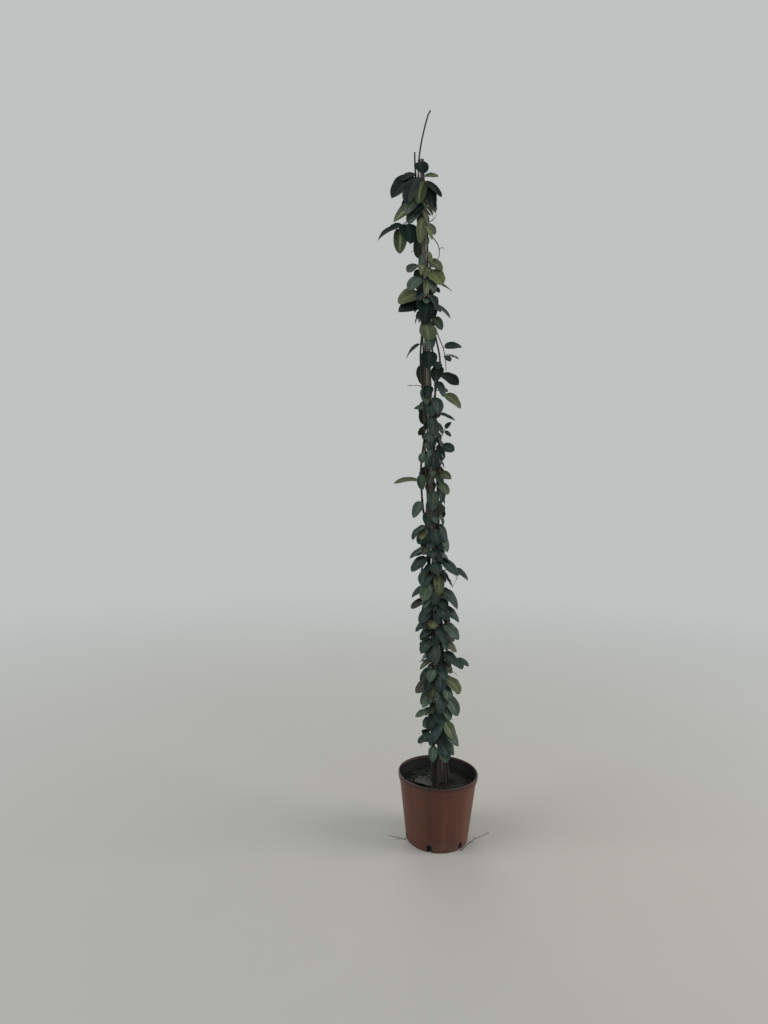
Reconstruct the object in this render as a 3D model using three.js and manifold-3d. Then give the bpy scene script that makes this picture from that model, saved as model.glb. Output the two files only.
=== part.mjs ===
// A star jasmine in a nursery pot: a brown plastic pot full of potting soil, a bamboo cane, and seven
// twining stems with leathery leaves in pairs. Millimetres, +Z up. The origin is the centre of the pot's
// base. The front is -Y, and +X is to the right as seen from the front.

import * as THREE from "three";
import Module from "manifold-3d";
import { mergeVertices } from "three/addons/utils/BufferGeometryUtils.js";

const wasm = await Module();
wasm.setup();

// Sizes of the holder

const SEAT_GAP = 0.3;

const POT = {
  rimRadius: 90,
  height: 148,
  lip: 1.2,
  lipBevel: 0.6,
  collarHeight: 12,
  collarSlope: 8,
  collarStep: 4.5,
  collarWall: 3.2,
  footRadius: 69,
  wall: 1.8,
  floorTop: 4.5,
  recess: 2.5,
  padRadius: 24,
  footRing: 9,
  sides: 32,
};

const NOTCH = { count: 6, firstAzimuth: -108, width: 8.7, height: 16, depth: 14, past: 1, segments: 4 };

const SOIL = {
  top: 121,
  mound: 5,
  lump: 1.6,
  lumpLength: 36,
  lumpPhase: 0.7,
  crossLump: 0.6,
  rings: 4,
  clearance: 0.5,
  footBevel: 0.4,
  stemHole: 0.45,
  caneHole: 0.35,
};

const CANE = {
  foot: 12,
  top: 1542,
  footRadius: 6.8,
  topRadius: 5.4,
  leanFrom: 8,
  leanTo: -65,
  leanBack: 12,
  nodeSpacing: 196,
  nodeSwell: 0.9,
  nodeHalfLength: 5,
  firstNode: 150,
  sides: 9,
};

// Sizes of the plant

// How the stems wind up the cane: all the same way round, each at its own place on the circle.
const TWINE = {
  turn: 300,
  radius: 12.5,
  radiusWave: 1.6,
  waveLength: 310,
  rootSpread: 5,
  rootSpreadHeight: 70,
  sway: 9,
  swayLength: 430,
  straightAbove: 9,
  buriedDepth: 42,
  step: 48,
  sides: 5,
};

const STEMS = [
  { name: "leafy_stem_1_with_whip", start: -65, top: 1641, phase: 0.4, whip: true },
  { name: "leafy_stem_2", start: -116, top: 1558, phase: 2.1 },
  { name: "leafy_stem_3", start: -13, top: 1506, phase: 3.3 },
  { name: "leafy_stem_4", start: -168, top: 1462, phase: 5.0 },
  { name: "leafy_stem_5", start: 38, top: 1404, phase: 1.2 },
  { name: "leafy_stem_6", start: 141, top: 1312, phase: 4.2 },
  { name: "leafy_stem_7", start: 90, top: 1182, phase: 0.9 },
];

const STEM_RADIUS = { foot: 3.0, top: 1.8 };

// Above the cane the longest shoot is bare and swings over to the right.
const WHIP = { from: 1500, swing: 22, curve: 1.6, tipRadius: 1.4 };

// Places where the stems bow out from the cane.
const BOWS = [
  { azimuth: 180, height: 1112, reach: 8 },
  { azimuth: 180, height: 848, reach: 13 },
  { azimuth: 180, height: 735, reach: 12 },
  { azimuth: 0, height: 856, reach: 9 },
  { azimuth: 0, height: 1070, reach: 17 },
  { azimuth: 180, height: 1545, reach: 5 },
  { azimuth: -160, height: 185, reach: 7 },
];
const BOW_SPREAD = { degrees: 28, height: 48 };

// One leaf: a stalk, then a blade with a fold along the rib and a tip that bends down.
const LEAF = {
  stalkShare: 0.13,
  bladeFrom: 0.1,
  stalkHalfWidth: 1.0,
  stalkHalfThickness: 0.75,
  thickness: 0.8,
  stations: [0.2, 0.5, 0.8],
  smallStations: [0.3, 0.7],
  fold: 14,
  bend: 24,
};

// Leaves turn their upper faces outward, upward, and partly round to the front, where the light came from.
const LIGHT = { azimuth: -90, pull: 0.7, lift: 34 };

const CLEARANCE = 0.45;

// Short side shoots: where each leaves its stem, where it ends, and the leaves on it. A shoot's reach and
// height are those of its end, and its leaves are given by how far along they sit and which way they point.
const SHOOTS = [
  {
    height: 1408, azimuth: 184, reach: 58, endHeight: 1382, sag: 4,
    leaves: [
      { along: 0.96, azimuth: 182, length: 60, rise: -32, width: 0.5, bend: 44 },
      { along: 0.92, azimuth: -104, length: 68, rise: -80, width: 0.52 },
      { along: 0.66, azimuth: -62, length: 64, rise: -66, width: 0.76 },
      { along: 0.78, azimuth: 166, length: 42, rise: -34, width: 0.56, face: -100 },
    ],
  },
  { height: 1372, azimuth: 6, reach: 30, endHeight: 1314, sag: 0, bow: 13, leaves: [] },
  {
    height: 1160, azimuth: -12, reach: 40, endHeight: 1058, sag: -4, bow: 8,
    leaves: [
      { along: 0.44, azimuth: 0, length: 46, rise: 6, width: 0.54, face: -80, lift: 36 },
      { along: 0.62, azimuth: -50, length: 24, rise: -50, width: 0.72, face: -80 },
      { along: 0.6, azimuth: 12, length: 36, rise: -12, width: 0.42, lift: 56 },
    ],
  },
  {
    height: 1014, azimuth: 0, reach: 32, endHeight: 1006, sag: 3,
    leaves: [
      { along: 0.96, azimuth: -8, length: 55, rise: -38, width: 0.54, face: -80 },
      { along: 0.7, azimuth: 40, length: 26, rise: 18, width: 0.5 },
    ],
  },
  {
    height: 902, azimuth: 2, reach: 34, endHeight: 928, sag: -4,
    leaves: [
      { along: 0.96, azimuth: 20, length: 22, rise: 52, width: 0.56, face: -80 },
      { along: 0.86, azimuth: -12, length: 22, rise: -40, width: 0.56, face: -80 },
    ],
  },
  {
    height: 620, azimuth: 4, reach: 46, endHeight: 607, sag: 4,
    leaves: [
      { along: 0.96, azimuth: -4, length: 44, rise: -36, width: 0.5 },
      { along: 0.8, azimuth: 50, length: 30, rise: -14, width: 0.5 },
    ],
  },
  {
    height: 409, azimuth: 2, reach: 42, endHeight: 402, sag: 3,
    leaves: [
      { along: 0.96, azimuth: 6, length: 38, rise: -24, width: 0.5 },
      { along: 0.75, azimuth: -46, length: 36, rise: -36, width: 0.56 },
    ],
  },
];

const SHOOT = { radius: 1.25, tipRadius: 1.0, steps: 5, sides: 4 };

// Leaves that stand out of the column: height of the joint with the stem, the way they point as seen from
// above (0 right, 90 back, 180 left, -90 front), how far the tip is from the cane, and how far it drops.
const STANDING_LEAVES = [
  { height: 1533, azimuth: -84, reach: 25, drop: 36, width: 0.92 },
  { height: 1508, azimuth: 184, reach: 70, drop: 60, width: 0.72, face: -110 },
  { height: 1500, azimuth: -146, reach: 60, drop: 74, width: 0.66, face: -100 },
  { height: 1512, azimuth: 160, reach: 48, drop: 20, width: 0.8, face: -100, lift: 40 },
  { height: 1492, azimuth: -102, reach: 31, drop: 68, width: 0.44 },
  { height: 1484, azimuth: -30, reach: 33, drop: 62, width: 0.5, face: -85 },
  { height: 1490, azimuth: -22, reach: 47, drop: 50, width: 0.46, face: -72 },
  { height: 1497, azimuth: 2, reach: 38, drop: -8, width: 0.44, face: -85, lift: 24 },
  { height: 1454, azimuth: -142, reach: 44, drop: 46, width: 0.72, face: -100 },
  { height: 1440, azimuth: -172, reach: 68, drop: 52, width: 0.62, face: -105 },
  { height: 1470, azimuth: 178, reach: 44, drop: 44, width: 0.8, face: -100 },
  { height: 1428, azimuth: -162, reach: 42, drop: 48, width: 0.7, face: -100 },
  { height: 1412, azimuth: -122, reach: 26, drop: 74, width: 0.3 },
  { height: 1394, azimuth: -10, reach: 28, drop: 32, width: 0.62, face: -75 },
  { height: 1300, azimuth: 196, reach: 42, drop: 20, width: 0.94, face: -100 },
  { height: 1306, azimuth: -14, reach: 44, drop: 18, width: 0.86, face: -80 },
  { height: 1284, azimuth: -28, reach: 42, drop: 36, width: 0.9, face: -80 },
  { height: 1306, azimuth: -112, reach: 29, drop: 38, width: 0.36 },
  { height: 1296, azimuth: -72, reach: 28, drop: 36, width: 0.34 },
  { height: 1264, azimuth: -96, reach: 29, drop: 44, width: 0.4 },
  { height: 1340, azimuth: 172, reach: 32, drop: 10, width: 0.6, lift: 50 },
  { height: 1266, azimuth: 6, reach: 62, drop: 26, width: 0.46, lift: 46 },
  { height: 1270, azimuth: -152, reach: 44, drop: 34, width: 0.78, face: -100 },
  { height: 1238, azimuth: 184, reach: 66, drop: 26, width: 0.78, face: -105 },
  { height: 1212, azimuth: 188, reach: 64, drop: 24, width: 0.78, face: -100 },
  { height: 1218, azimuth: -96, reach: 30, drop: 62, width: 0.62 },
  { height: 1214, azimuth: -50, reach: 36, drop: 32, width: 0.64 },
  { height: 1212, azimuth: 2, reach: 60, drop: 30, width: 0.46, lift: 42 },
  { height: 1166, azimuth: -82, reach: 32, drop: 46, width: 0.9 },
  { height: 1120, azimuth: 178, reach: 50, drop: 34, width: 0.46, lift: 48 },
  { height: 1104, azimuth: -96, reach: 34, drop: 48, width: 0.78 },
  { height: 1078, azimuth: -28, reach: 30, drop: 20, width: 0.6 },
  { height: 1022, azimuth: 176, reach: 52, drop: 0, width: 0.4, lift: 80 },
  { height: 1052, azimuth: -14, reach: 71, drop: 27, width: 0.64, face: -80 },
  { height: 1024, azimuth: -106, reach: 31, drop: 32, width: 0.76 },
  { height: 1036, azimuth: -26, reach: 38, drop: 40, width: 0.66 },
  { height: 1000, azimuth: -32, reach: 36, drop: 36, width: 0.66 },
  { height: 972, azimuth: 196, reach: 38, drop: 4, width: 0.6, face: -110 },
  { height: 980, azimuth: 158, reach: 34, drop: -14, width: 0.5 },
  { height: 962, azimuth: -10, reach: 57, drop: 20, width: 0.42, lift: 56 },
  { height: 886, azimuth: -22, reach: 57, drop: 8, width: 0.76, face: -80 },
  { height: 872, azimuth: 206, reach: 34, drop: 26, width: 0.6 },
  { height: 824, azimuth: -28, reach: 50, drop: 10, width: 0.8, face: -80 },
  { height: 806, azimuth: 181, reach: 89, drop: 6, width: 0.34, lift: 50 },
  { height: 806, azimuth: -40, reach: 44, drop: 30, width: 0.8 },
  { height: 780, azimuth: -12, reach: 32, drop: 26, width: 0.62 },
  { height: 762, azimuth: 192, reach: 46, drop: 40, width: 0.6, face: -110 },
  { height: 768, azimuth: -98, reach: 34, drop: 46, width: 0.66 },
  { height: 704, azimuth: 184, reach: 50, drop: 32, width: 0.46, bend: 70 },
  { height: 694, azimuth: -12, reach: 33, drop: 50, width: 0.56 },
  { height: 656, azimuth: 182, reach: 56, drop: 27, width: 0.52, lift: 46 },
  { height: 636, azimuth: 194, reach: 56, drop: 34, width: 0.62, face: -110 },
  { height: 634, azimuth: -18, reach: 58, drop: 40, width: 0.6 },
  { height: 600, azimuth: -76, reach: 34, drop: 42, width: 0.52 },
  { height: 566, azimuth: 182, reach: 56, drop: 24, width: 0.48, lift: 46 },
  { height: 562, azimuth: -16, reach: 56, drop: 44, width: 0.6 },
  { height: 539, azimuth: 184, reach: 57, drop: 24, width: 0.46, lift: 46 },
  { height: 522, azimuth: 206, reach: 44, drop: 36, width: 0.62 },
  { height: 523, azimuth: -12, reach: 57, drop: 32, width: 0.6 },
  { height: 494, azimuth: 176, reach: 48, drop: 32, width: 0.48, lift: 48 },
  { height: 487, azimuth: -20, reach: 54, drop: 38, width: 0.62 },
  { height: 476, azimuth: 204, reach: 40, drop: 27, width: 0.56 },
  { height: 452, azimuth: 198, reach: 42, drop: 34, width: 0.6 },
  { height: 446, azimuth: -14, reach: 46, drop: 26, width: 0.58 },
  { height: 422, azimuth: -16, reach: 54, drop: 40, width: 0.6 },
  { height: 396, azimuth: 178, reach: 43, drop: 0, width: 0.4, lift: 76 },
  { height: 362, azimuth: -12, reach: 54, drop: 34, width: 0.68 },
  { height: 356, azimuth: 192, reach: 55, drop: 26, width: 0.62, face: -110 },
  { height: 326, azimuth: -20, reach: 50, drop: 46, width: 0.62 },
  { height: 284, azimuth: 178, reach: 54, drop: 16, width: 0.52, lift: 48 },
  { height: 250, azimuth: -24, reach: 46, drop: 40, width: 0.62 },
  { height: 234, azimuth: 188, reach: 51, drop: 20, width: 0.52 },
  { height: 222, azimuth: -62, reach: 36, drop: 34, width: 0.7 },
  { height: 214, azimuth: -150, reach: 36, drop: 26, width: 0.6 },
];

// The rest of the foliage follows a rule. By height: how wide the leafy column is round the cane, and the
// share of the leaf joints that still carry a leaf.
const COLUMN = [
  { height: 165, reach: 42, share: 0.5 },
  { height: 220, reach: 46, share: 0.9 },
  { height: 640, reach: 48, share: 1 },
  { height: 700, reach: 36, share: 0.45 },
  { height: 780, reach: 36, share: 0.45 },
  { height: 900, reach: 36, share: 0.85 },
  { height: 990, reach: 34, share: 0.8 },
  { height: 1040, reach: 30, share: 0.2 },
  { height: 1160, reach: 30, share: 0.2 },
  { height: 1215, reach: 38, share: 0.7 },
  { height: 1270, reach: 34, share: 0.5 },
  { height: 1330, reach: 28, share: 0.15 },
  { height: 1415, reach: 34, share: 0.15 },
  { height: 1450, reach: 38, share: 0.9 },
  { height: 1500, reach: 42, share: 0.9 },
];

// One side of the column is bare for a stretch, where the stems show.
const BARE_SIDE = { azimuth: 180, within: 60, from: 770, to: 1120 };

const JOINT = { first: 222, stagger: 6, spacing: 41, jitter: 12, bareTop: 30, belowTop: 8 };

// A joint's two leaves: how far to each side they point, how far out their tips reach, as a share of the
// column, how their upper faces vary, and the least drop of a leaf, as a share of its length.
const PAIR = {
  spreads: [56, 22],
  jitter: 16,
  leastReach: 0.72,
  sideRun: 0.12,
  mostRun: 0.9,
  leastDrop: 0.3,
  faceJitter: 25,
  leastLift: 15,
  mostLift: 60,
};
const GROWN_LEAF = { shortest: 38, longest: 62, narrowest: 0.52, widest: 0.72 };
const SEEDS = { joints: 9001, jointStep: 37, curtains: 5003, curtainStep: 41 };

// Rows of leaves that hang over the front and the back of the stems.
const CURTAINS = [
  { azimuth: -90, from: 226, to: 1000, spacing: 38 },
  { azimuth: -150, from: 236, to: 980, spacing: 42 },
  { azimuth: -30, from: 252, to: 980, spacing: 42 },
  { azimuth: 90, from: 232, to: 1010, spacing: 64 },
  { azimuth: 90, from: 1200, to: 1480, spacing: 64 },
];
const CURTAIN_LEAF = { swing: 38, reach: 27, reachJitter: 4, drop: 44, dropJitter: 7 };

// Small changes tried, in this order, until a leaf is clear of what already grows there.
const TRIES = { shrinks: [1, 0.84, 0.7], drops: [0, 8, -8], turns: [0, 11, -11, 22, -22, 33, -33] };

// A leaf that has fallen on the soil, and two roots that have grown out of the drain notches.
const FALLEN_LEAF = { from: [-14, -30], to: [-52, 6], lift: 2.0, width: 0.62, bend: 50 };
const ROOT = {
  radius: 0.8,
  tipShare: 0.5,
  lift: 0.1,
  sides: 4,
  exitHeight: 7,
  sillHeight: 4.5,
  sillReach: 2,
  floorReach: 6,
};
const ROOTS = [
  { name: "root_right", notch: 1, along: [[60, -40], [82, -12], [100, 2], [117, 15]] },
  { name: "root_left", notch: 5, along: [[-86, -10], [-101, -4]] },
];

// Arithmetic

const radians = (degrees) => (degrees * Math.PI) / 180;
const turned = (degrees) => ((((degrees + 180) % 360) + 360) % 360) - 180;
const mix = (a, b, t) => a + (b - a) * t;
const bell = (x, spread) => Math.exp(-0.5 * (x / spread) ** 2);

// A small generator of even draws from 0 to 1 that any language can repeat.
function draws(seed) {
  let state = seed;
  return () => {
    state = (state * 48271) % 2147483647;
    return state / 2147483647;
  };
}

// The reach and share of the leafy column at a height, straight between the listed heights.
function columnAt(height) {
  const last = COLUMN.length - 1;
  if (height <= COLUMN[0].height) return COLUMN[0];
  if (height >= COLUMN[last].height) return COLUMN[last];
  const i = COLUMN.findIndex((row) => row.height > height);
  const [low, high] = [COLUMN[i - 1], COLUMN[i]];
  const t = (height - low.height) / (high.height - low.height);
  return { reach: mix(low.reach, high.reach, t), share: mix(low.share, high.share, t) };
}

// Solids and geometries

function solidOf(geometry) {
  const bare = geometry.clone();
  bare.deleteAttribute("normal");
  bare.deleteAttribute("uv");
  const merged = mergeVertices(bare, 1e-3);
  return solidOfFaces(merged.attributes.position.array, merged.index.array);
}

function solidOfFaces(positions, faces) {
  const made = new wasm.Manifold(
    new wasm.Mesh({
      numProp: 3,
      vertProperties: new Float32Array(positions),
      triVerts: new Uint32Array(faces),
    }),
  );
  return made;
}

function geometryOf(solid) {
  const mesh = solid.getMesh();
  const geometry = new THREE.BufferGeometry();
  geometry.setAttribute("position", new THREE.BufferAttribute(mesh.vertProperties, mesh.numProp));
  geometry.setIndex(new THREE.BufferAttribute(mesh.triVerts, 1));
  const flat = geometry.toNonIndexed();
  flat.computeVertexNormals();
  return flat;
}

// A tube of any radius along points, closed at both ends.
function tube(points, radii, sides) {
  const positions = [];
  const faces = [];
  let side = new THREE.Vector3(1, 0, 0);
  points.forEach((point, i) => {
    const before = points[Math.max(i - 1, 0)];
    const after = points[Math.min(i + 1, points.length - 1)];
    const along = after.clone().sub(before).normalize();
    side = side.clone().addScaledVector(along, -side.dot(along)).normalize();
    const across = along.clone().cross(side);
    for (let k = 0; k < sides; k++) {
      const a = (2 * Math.PI * k) / sides;
      const corner = point
        .clone()
        .addScaledVector(side, radii[i] * Math.cos(a))
        .addScaledVector(across, radii[i] * Math.sin(a));
      positions.push(...corner.toArray());
    }
  });
  const ring = (i, k) => i * sides + (k % sides);
  for (let i = 0; i + 1 < points.length; i++)
    for (let k = 0; k < sides; k++) {
      faces.push(ring(i, k), ring(i, k + 1), ring(i + 1, k + 1));
      faces.push(ring(i, k), ring(i + 1, k + 1), ring(i + 1, k));
    }
  const end = points.length - 1;
  for (let k = 1; k + 1 < sides; k++) {
    faces.push(ring(0, 0), ring(0, k + 1), ring(0, k));
    faces.push(ring(end, 0), ring(end, k), ring(end, k + 1));
  }
  return solidOfFaces(positions, faces);
}

// Whether two solids' boxes come within the clearance of each other.
function boxesMeet(a, b) {
  return [0, 1, 2].every(
    (i) => a.min[i] - CLEARANCE <= b.max[i] && b.min[i] - CLEARANCE <= a.max[i],
  );
}

const attempts = TRIES.shrinks.flatMap((shrink) =>
  TRIES.turns.flatMap((turn) => TRIES.drops.map((drop) => ({ shrink, turn, drop }))),
);

const standing = [];

function stand(solid, owner) {
  standing.push({ solid, owner, box: solid.boundingBox() });
}

// Whether a solid keeps clear of everything placed so far, apart from its own owner's stem.
function isClear(solid, ownStem) {
  const box = solid.boundingBox();
  return standing.every(
    (other) =>
      other.owner === ownStem ||
      !boxesMeet(box, other.box) ||
      solid.minGap(other.solid, CLEARANCE) >= CLEARANCE,
  );
}

// Pot

// Outer radius of the pot's wall below the collar.
function wallRadius(height) {
  const collarFoot = POT.height - POT.collarHeight - POT.collarSlope;
  return mix(POT.footRadius, POT.rimRadius - POT.collarStep, height / collarFoot);
}

function potProfile() {
  const collarFoot = POT.height - POT.collarHeight - POT.collarSlope;
  const collarTop = POT.height - POT.collarHeight;
  const ringInner = POT.footRadius - POT.footRing;
  const bore = POT.rimRadius - POT.collarWall;
  return [
    [0, 0],
    [POT.padRadius, 0],
    [POT.padRadius + POT.recess, POT.recess],
    [ringInner - POT.recess, POT.recess],
    [ringInner, 0],
    [POT.footRadius, 0],
    [wallRadius(collarFoot), collarFoot],
    [POT.rimRadius - POT.lip, collarTop],
    [POT.rimRadius, POT.height - POT.lip],
    [POT.rimRadius - POT.lipBevel, POT.height],
    [bore + POT.lipBevel, POT.height],
    [bore, collarTop],
    [wallRadius(collarFoot) - POT.wall, collarFoot],
    [POT.footRadius - POT.wall, POT.floorTop],
    [0, POT.floorTop],
  ].map(([x, y]) => new THREE.Vector2(x, y));
}

function turnedSolid(profile, sides) {
  const geometry = new THREE.LatheGeometry(profile, sides);
  geometry.rotateX(Math.PI / 2);
  return solidOf(geometry);
}

// A round-topped slot through the foot of the wall, pointing out along the azimuth.
function notchCutter(azimuth) {
  const half = NOTCH.width / 2;
  const arch = new THREE.Shape();
  arch.moveTo(-half, -NOTCH.past);
  arch.lineTo(half, -NOTCH.past);
  arch.lineTo(half, NOTCH.height - half);
  arch.absarc(0, NOTCH.height - half, half, 0, Math.PI);
  arch.closePath();
  const geometry = new THREE.ExtrudeGeometry(arch, {
    depth: NOTCH.depth,
    bevelEnabled: false,
    curveSegments: NOTCH.segments,
  });
  geometry.rotateX(Math.PI / 2);
  geometry.rotateZ(Math.PI / 2);
  geometry.translate(POT.footRadius - POT.footRing + NOTCH.past, 0, 0);
  geometry.rotateZ(radians(azimuth));
  return solidOf(geometry);
}

const notchAzimuth = (i) => NOTCH.firstAzimuth + (360 / NOTCH.count) * i;

function potSolid() {
  let pot = turnedSolid(potProfile(), POT.sides);
  for (let i = 0; i < NOTCH.count; i++) pot = pot.subtract(notchCutter(notchAzimuth(i)));
  return pot;
}

// Cane

function caneCentre(height) {
  const t = (height - SOIL.top) / (CANE.top - SOIL.top);
  return new THREE.Vector3(mix(CANE.leanFrom, CANE.leanTo, t), CANE.leanBack * t, height);
}

function caneRadius(height) {
  return mix(CANE.footRadius, CANE.topRadius, (height - CANE.foot) / (CANE.top - CANE.foot));
}

function caneSolid() {
  const rows = [[CANE.foot, 0]];
  const half = CANE.nodeHalfLength;
  for (let node = CANE.firstNode; node < CANE.top - half; node += CANE.nodeSpacing)
    rows.push([node - half, 0], [node, CANE.nodeSwell], [node + half, 0]);
  rows.push([CANE.top, 0]);
  const points = rows.map(([height]) => caneCentre(height));
  const radii = rows.map(([height, swell]) => caneRadius(height) + swell);
  return tube(points, radii, CANE.sides);
}

// Stems

function stemAzimuth(stem, height) {
  const climb = (height - SOIL.top) / (CANE.top - SOIL.top);
  const sway = TWINE.sway * Math.sin((2 * Math.PI * height) / TWINE.swayLength + stem.phase);
  return stem.start + TWINE.turn * climb + sway;
}

function stemCentre(stem, height) {
  const bend = Math.max(height, SOIL.top + TWINE.straightAbove);
  const azimuth = stemAzimuth(stem, bend);
  const wave = Math.sin((2 * Math.PI * bend) / TWINE.waveLength + 2 * stem.phase);
  let reach = TWINE.radius + TWINE.radiusWave * wave;
  reach += TWINE.rootSpread * Math.exp(-(bend - SOIL.top) / TWINE.rootSpreadHeight);
  for (const bow of BOWS)
    reach +=
      bow.reach *
      bell(turned(azimuth - bow.azimuth), BOW_SPREAD.degrees) *
      bell(bend - bow.height, BOW_SPREAD.height);
  const centre = caneCentre(bend);
  centre.x += reach * Math.cos(radians(azimuth));
  centre.y += reach * Math.sin(radians(azimuth));
  if (stem.whip && bend > WHIP.from) {
    const free = (bend - WHIP.from) / (stem.top - WHIP.from);
    centre.x += WHIP.swing * free ** WHIP.curve;
  }
  centre.z = height;
  return centre;
}

function stemRadius(stem, height) {
  const t = Math.max(height - SOIL.top, 0) / (stem.top - SOIL.top);
  const thin = stem.whip ? WHIP.tipRadius : STEM_RADIUS.top;
  return mix(STEM_RADIUS.foot, thin, t);
}

function stemTube(stem) {
  const foot = SOIL.top - TWINE.buriedDepth;
  const bend = SOIL.top + TWINE.straightAbove;
  const count = Math.round((stem.top - bend) / TWINE.step);
  const heights = [foot, bend];
  for (let i = 1; i <= count; i++) heights.push(mix(bend, stem.top, i / count));
  const points = heights.map((height) => stemCentre(stem, height));
  const radii = heights.map((height) => stemRadius(stem, height));
  return tube(points, radii, TWINE.sides);
}

// Leaves

// Share of the greatest half width at a share of the blade's length.
function bladeShare(t) {
  return Math.sin(Math.PI * t ** 0.88) ** 0.6 * (1 - 0.12 * t ** 3);
}

// The leaf's own axes: the chord from root to tip, the side, and the normal of the upper face.
function leafFrame(leaf) {
  const chord = leaf.tip.clone().sub(leaf.root);
  const span = chord.length();
  const along = chord.normalize();
  const [face, lift] = [radians(leaf.face), radians(leaf.lift)];
  const level = Math.cos(lift);
  const facing = new THREE.Vector3(level * Math.cos(face), level * Math.sin(face), Math.sin(lift));
  const normal = facing.addScaledVector(along, -facing.dot(along)).normalize();
  const side = along.clone().cross(normal);
  return { span, along, side, normal };
}

// The point at a share of the leaf's length, with the normal there. The rib is an arc from root to tip.
function ribPoint(leaf, frame, share) {
  const bend = radians(leaf.bend);
  const radius = frame.span / (2 * Math.sin(bend / 2));
  const angle = bend * (share - 0.5);
  const point = leaf.root
    .clone()
    .addScaledVector(frame.along, frame.span / 2 + radius * Math.sin(angle))
    .addScaledVector(frame.normal, radius * (Math.cos(angle) - Math.cos(bend / 2)));
  const normal = frame.normal
    .clone()
    .multiplyScalar(Math.cos(angle))
    .addScaledVector(frame.along, Math.sin(angle));
  return { point, normal };
}

// The azimuth that a leaf's upper face looks to, from the azimuth at which the leaf stands.
function faceOf(azimuth) {
  const apart = turned(azimuth - LIGHT.azimuth);
  return azimuth - LIGHT.pull * apart * Math.cos(radians(apart / 2));
}

// What a leaf has when its list gives nothing else.
function leafDefaults(wanted) {
  return { lift: LIGHT.lift, bend: LEAF.bend, face: faceOf(wanted.azimuth), ...wanted };
}

function leafSolid(leaf, stalkFrom = 0) {
  const frame = leafFrame(leaf);
  const length = (frame.span * radians(leaf.bend)) / 2 / Math.sin(radians(leaf.bend) / 2);
  const halfWidth = (length * (1 - LEAF.stalkShare) * leaf.width) / 2;
  const positions = [];
  const faces = [];
  const add = ({ point, normal }, across, up) => {
    const corner = point.clone().addScaledVector(frame.side, across).addScaledVector(normal, up);
    positions.push(...corner.toArray());
  };

  add(ribPoint(leaf, frame, stalkFrom), 0, 0);
  const neck = ribPoint(leaf, frame, LEAF.stalkShare);
  const { stalkHalfWidth: wide, stalkHalfThickness: thick } = LEAF;
  add(neck, -wide, thick);
  add(neck, wide, thick);
  add(neck, wide, -thick);
  add(neck, -wide, -thick);
  const stations = leaf.small ? LEAF.smallStations : LEAF.stations;
  for (const t of stations) {
    const here = ribPoint(leaf, frame, mix(LEAF.stalkShare, 1, t));
    const w = halfWidth * bladeShare(t);
    const lifted = w * Math.tan(radians(LEAF.fold));
    const half = LEAF.thickness / 2;
    add(here, -w, lifted + half);
    add(here, 0, half);
    add(here, w, lifted + half);
    add(here, w, lifted - half);
    add(here, 0, -half);
    add(here, -w, lifted - half);
  }
  add(ribPoint(leaf, frame, 1), 0, 0);

  const quad = (a, b, c, d) => faces.push(a, b, c, a, c, d);
  const [root, neckAt, bladeAt] = [0, 1, 5];
  const last = bladeAt + 6 * (stations.length - 1);
  const tip = last + 6;
  for (let k = 0; k < 4; k++) faces.push(root, neckAt + ((k + 1) % 4), neckAt + k);
  const [neckLeft, neckRight, neckRightBelow, neckLeftBelow] = [1, 2, 3, 4];
  const [left, rib, right, rightBelow, ribBelow, leftBelow] = [5, 6, 7, 8, 9, 10];
  faces.push(neckLeft, rib, left, neckLeft, neckRight, rib, neckRight, right, rib);
  faces.push(neckLeftBelow, leftBelow, ribBelow, neckLeftBelow, ribBelow, neckRightBelow);
  faces.push(neckRightBelow, ribBelow, rightBelow);
  quad(neckRight, neckRightBelow, rightBelow, right);
  quad(neckLeftBelow, neckLeft, left, leftBelow);
  for (let i = bladeAt; i < last; i += 6) {
    const at = (k) => i + (k % 6);
    const on = (k) => i + 6 + (k % 6);
    for (const k of [0, 2, 3, 5]) quad(at(k), at(k + 1), on(k + 1), on(k));
    for (const k of [1, 4]) quad(at(k + 1), on(k + 1), on(k), at(k));
  }
  for (let k = 0; k < 6; k++) faces.push(tip, last + k, last + ((k + 1) % 6));
  return solidOfFaces(positions, faces);
}

// The stem whose side faces the azimuth most nearly at that height.
function stemFacing(azimuth, height) {
  const reaching = STEMS.filter((stem) => stem.top - JOINT.belowTop >= height);
  const apart = (stem) => Math.abs(turned(stemAzimuth(stem, height) - azimuth));
  return reaching.reduce((best, stem) => (apart(stem) < apart(best) ? stem : best));
}

// A leaf from its stem to a tip at that reach from the cane and that drop below its root.
function leafOnStem(stem, wanted, attempt) {
  const azimuth = radians(wanted.azimuth + attempt.turn);
  const root = stemCentre(stem, wanted.height);
  const tip = caneCentre(wanted.height);
  tip.x += wanted.reach * Math.cos(azimuth);
  tip.y += wanted.reach * Math.sin(azimuth);
  tip.z -= wanted.drop + attempt.drop;
  tip.lerpVectors(root, tip, attempt.shrink);
  return { ...leafDefaults(wanted), root, tip };
}

// Grows a leaf with the first of the small changes that leaves it clear, or not at all.
function growLeaf(grown, stem, wanted) {
  for (const attempt of attempts) {
    const leaf = leafOnStem(stem, wanted, attempt);
    const blade = leafSolid(leaf, LEAF.bladeFrom);
    const whole = leafSolid(leaf);
    if (isClear(blade, null) && isClear(whole, stem.name)) {
      stand(whole, stem.name + " leaf");
      grown.get(stem.name).push(whole);
      return;
    }
  }
}

// Side shoots

function shootCentre(shoot, stem, t) {
  const from = stemCentre(stem, shoot.height);
  const to = caneCentre(shoot.endHeight);
  to.x += shoot.reach * Math.cos(radians(shoot.azimuth));
  to.y += shoot.reach * Math.sin(radians(shoot.azimuth));
  const centre = from.lerp(to, t);
  const arc = 4 * t * (1 - t);
  centre.x += (shoot.bow ?? 0) * arc;
  centre.z += shoot.sag * arc;
  return centre;
}

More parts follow.
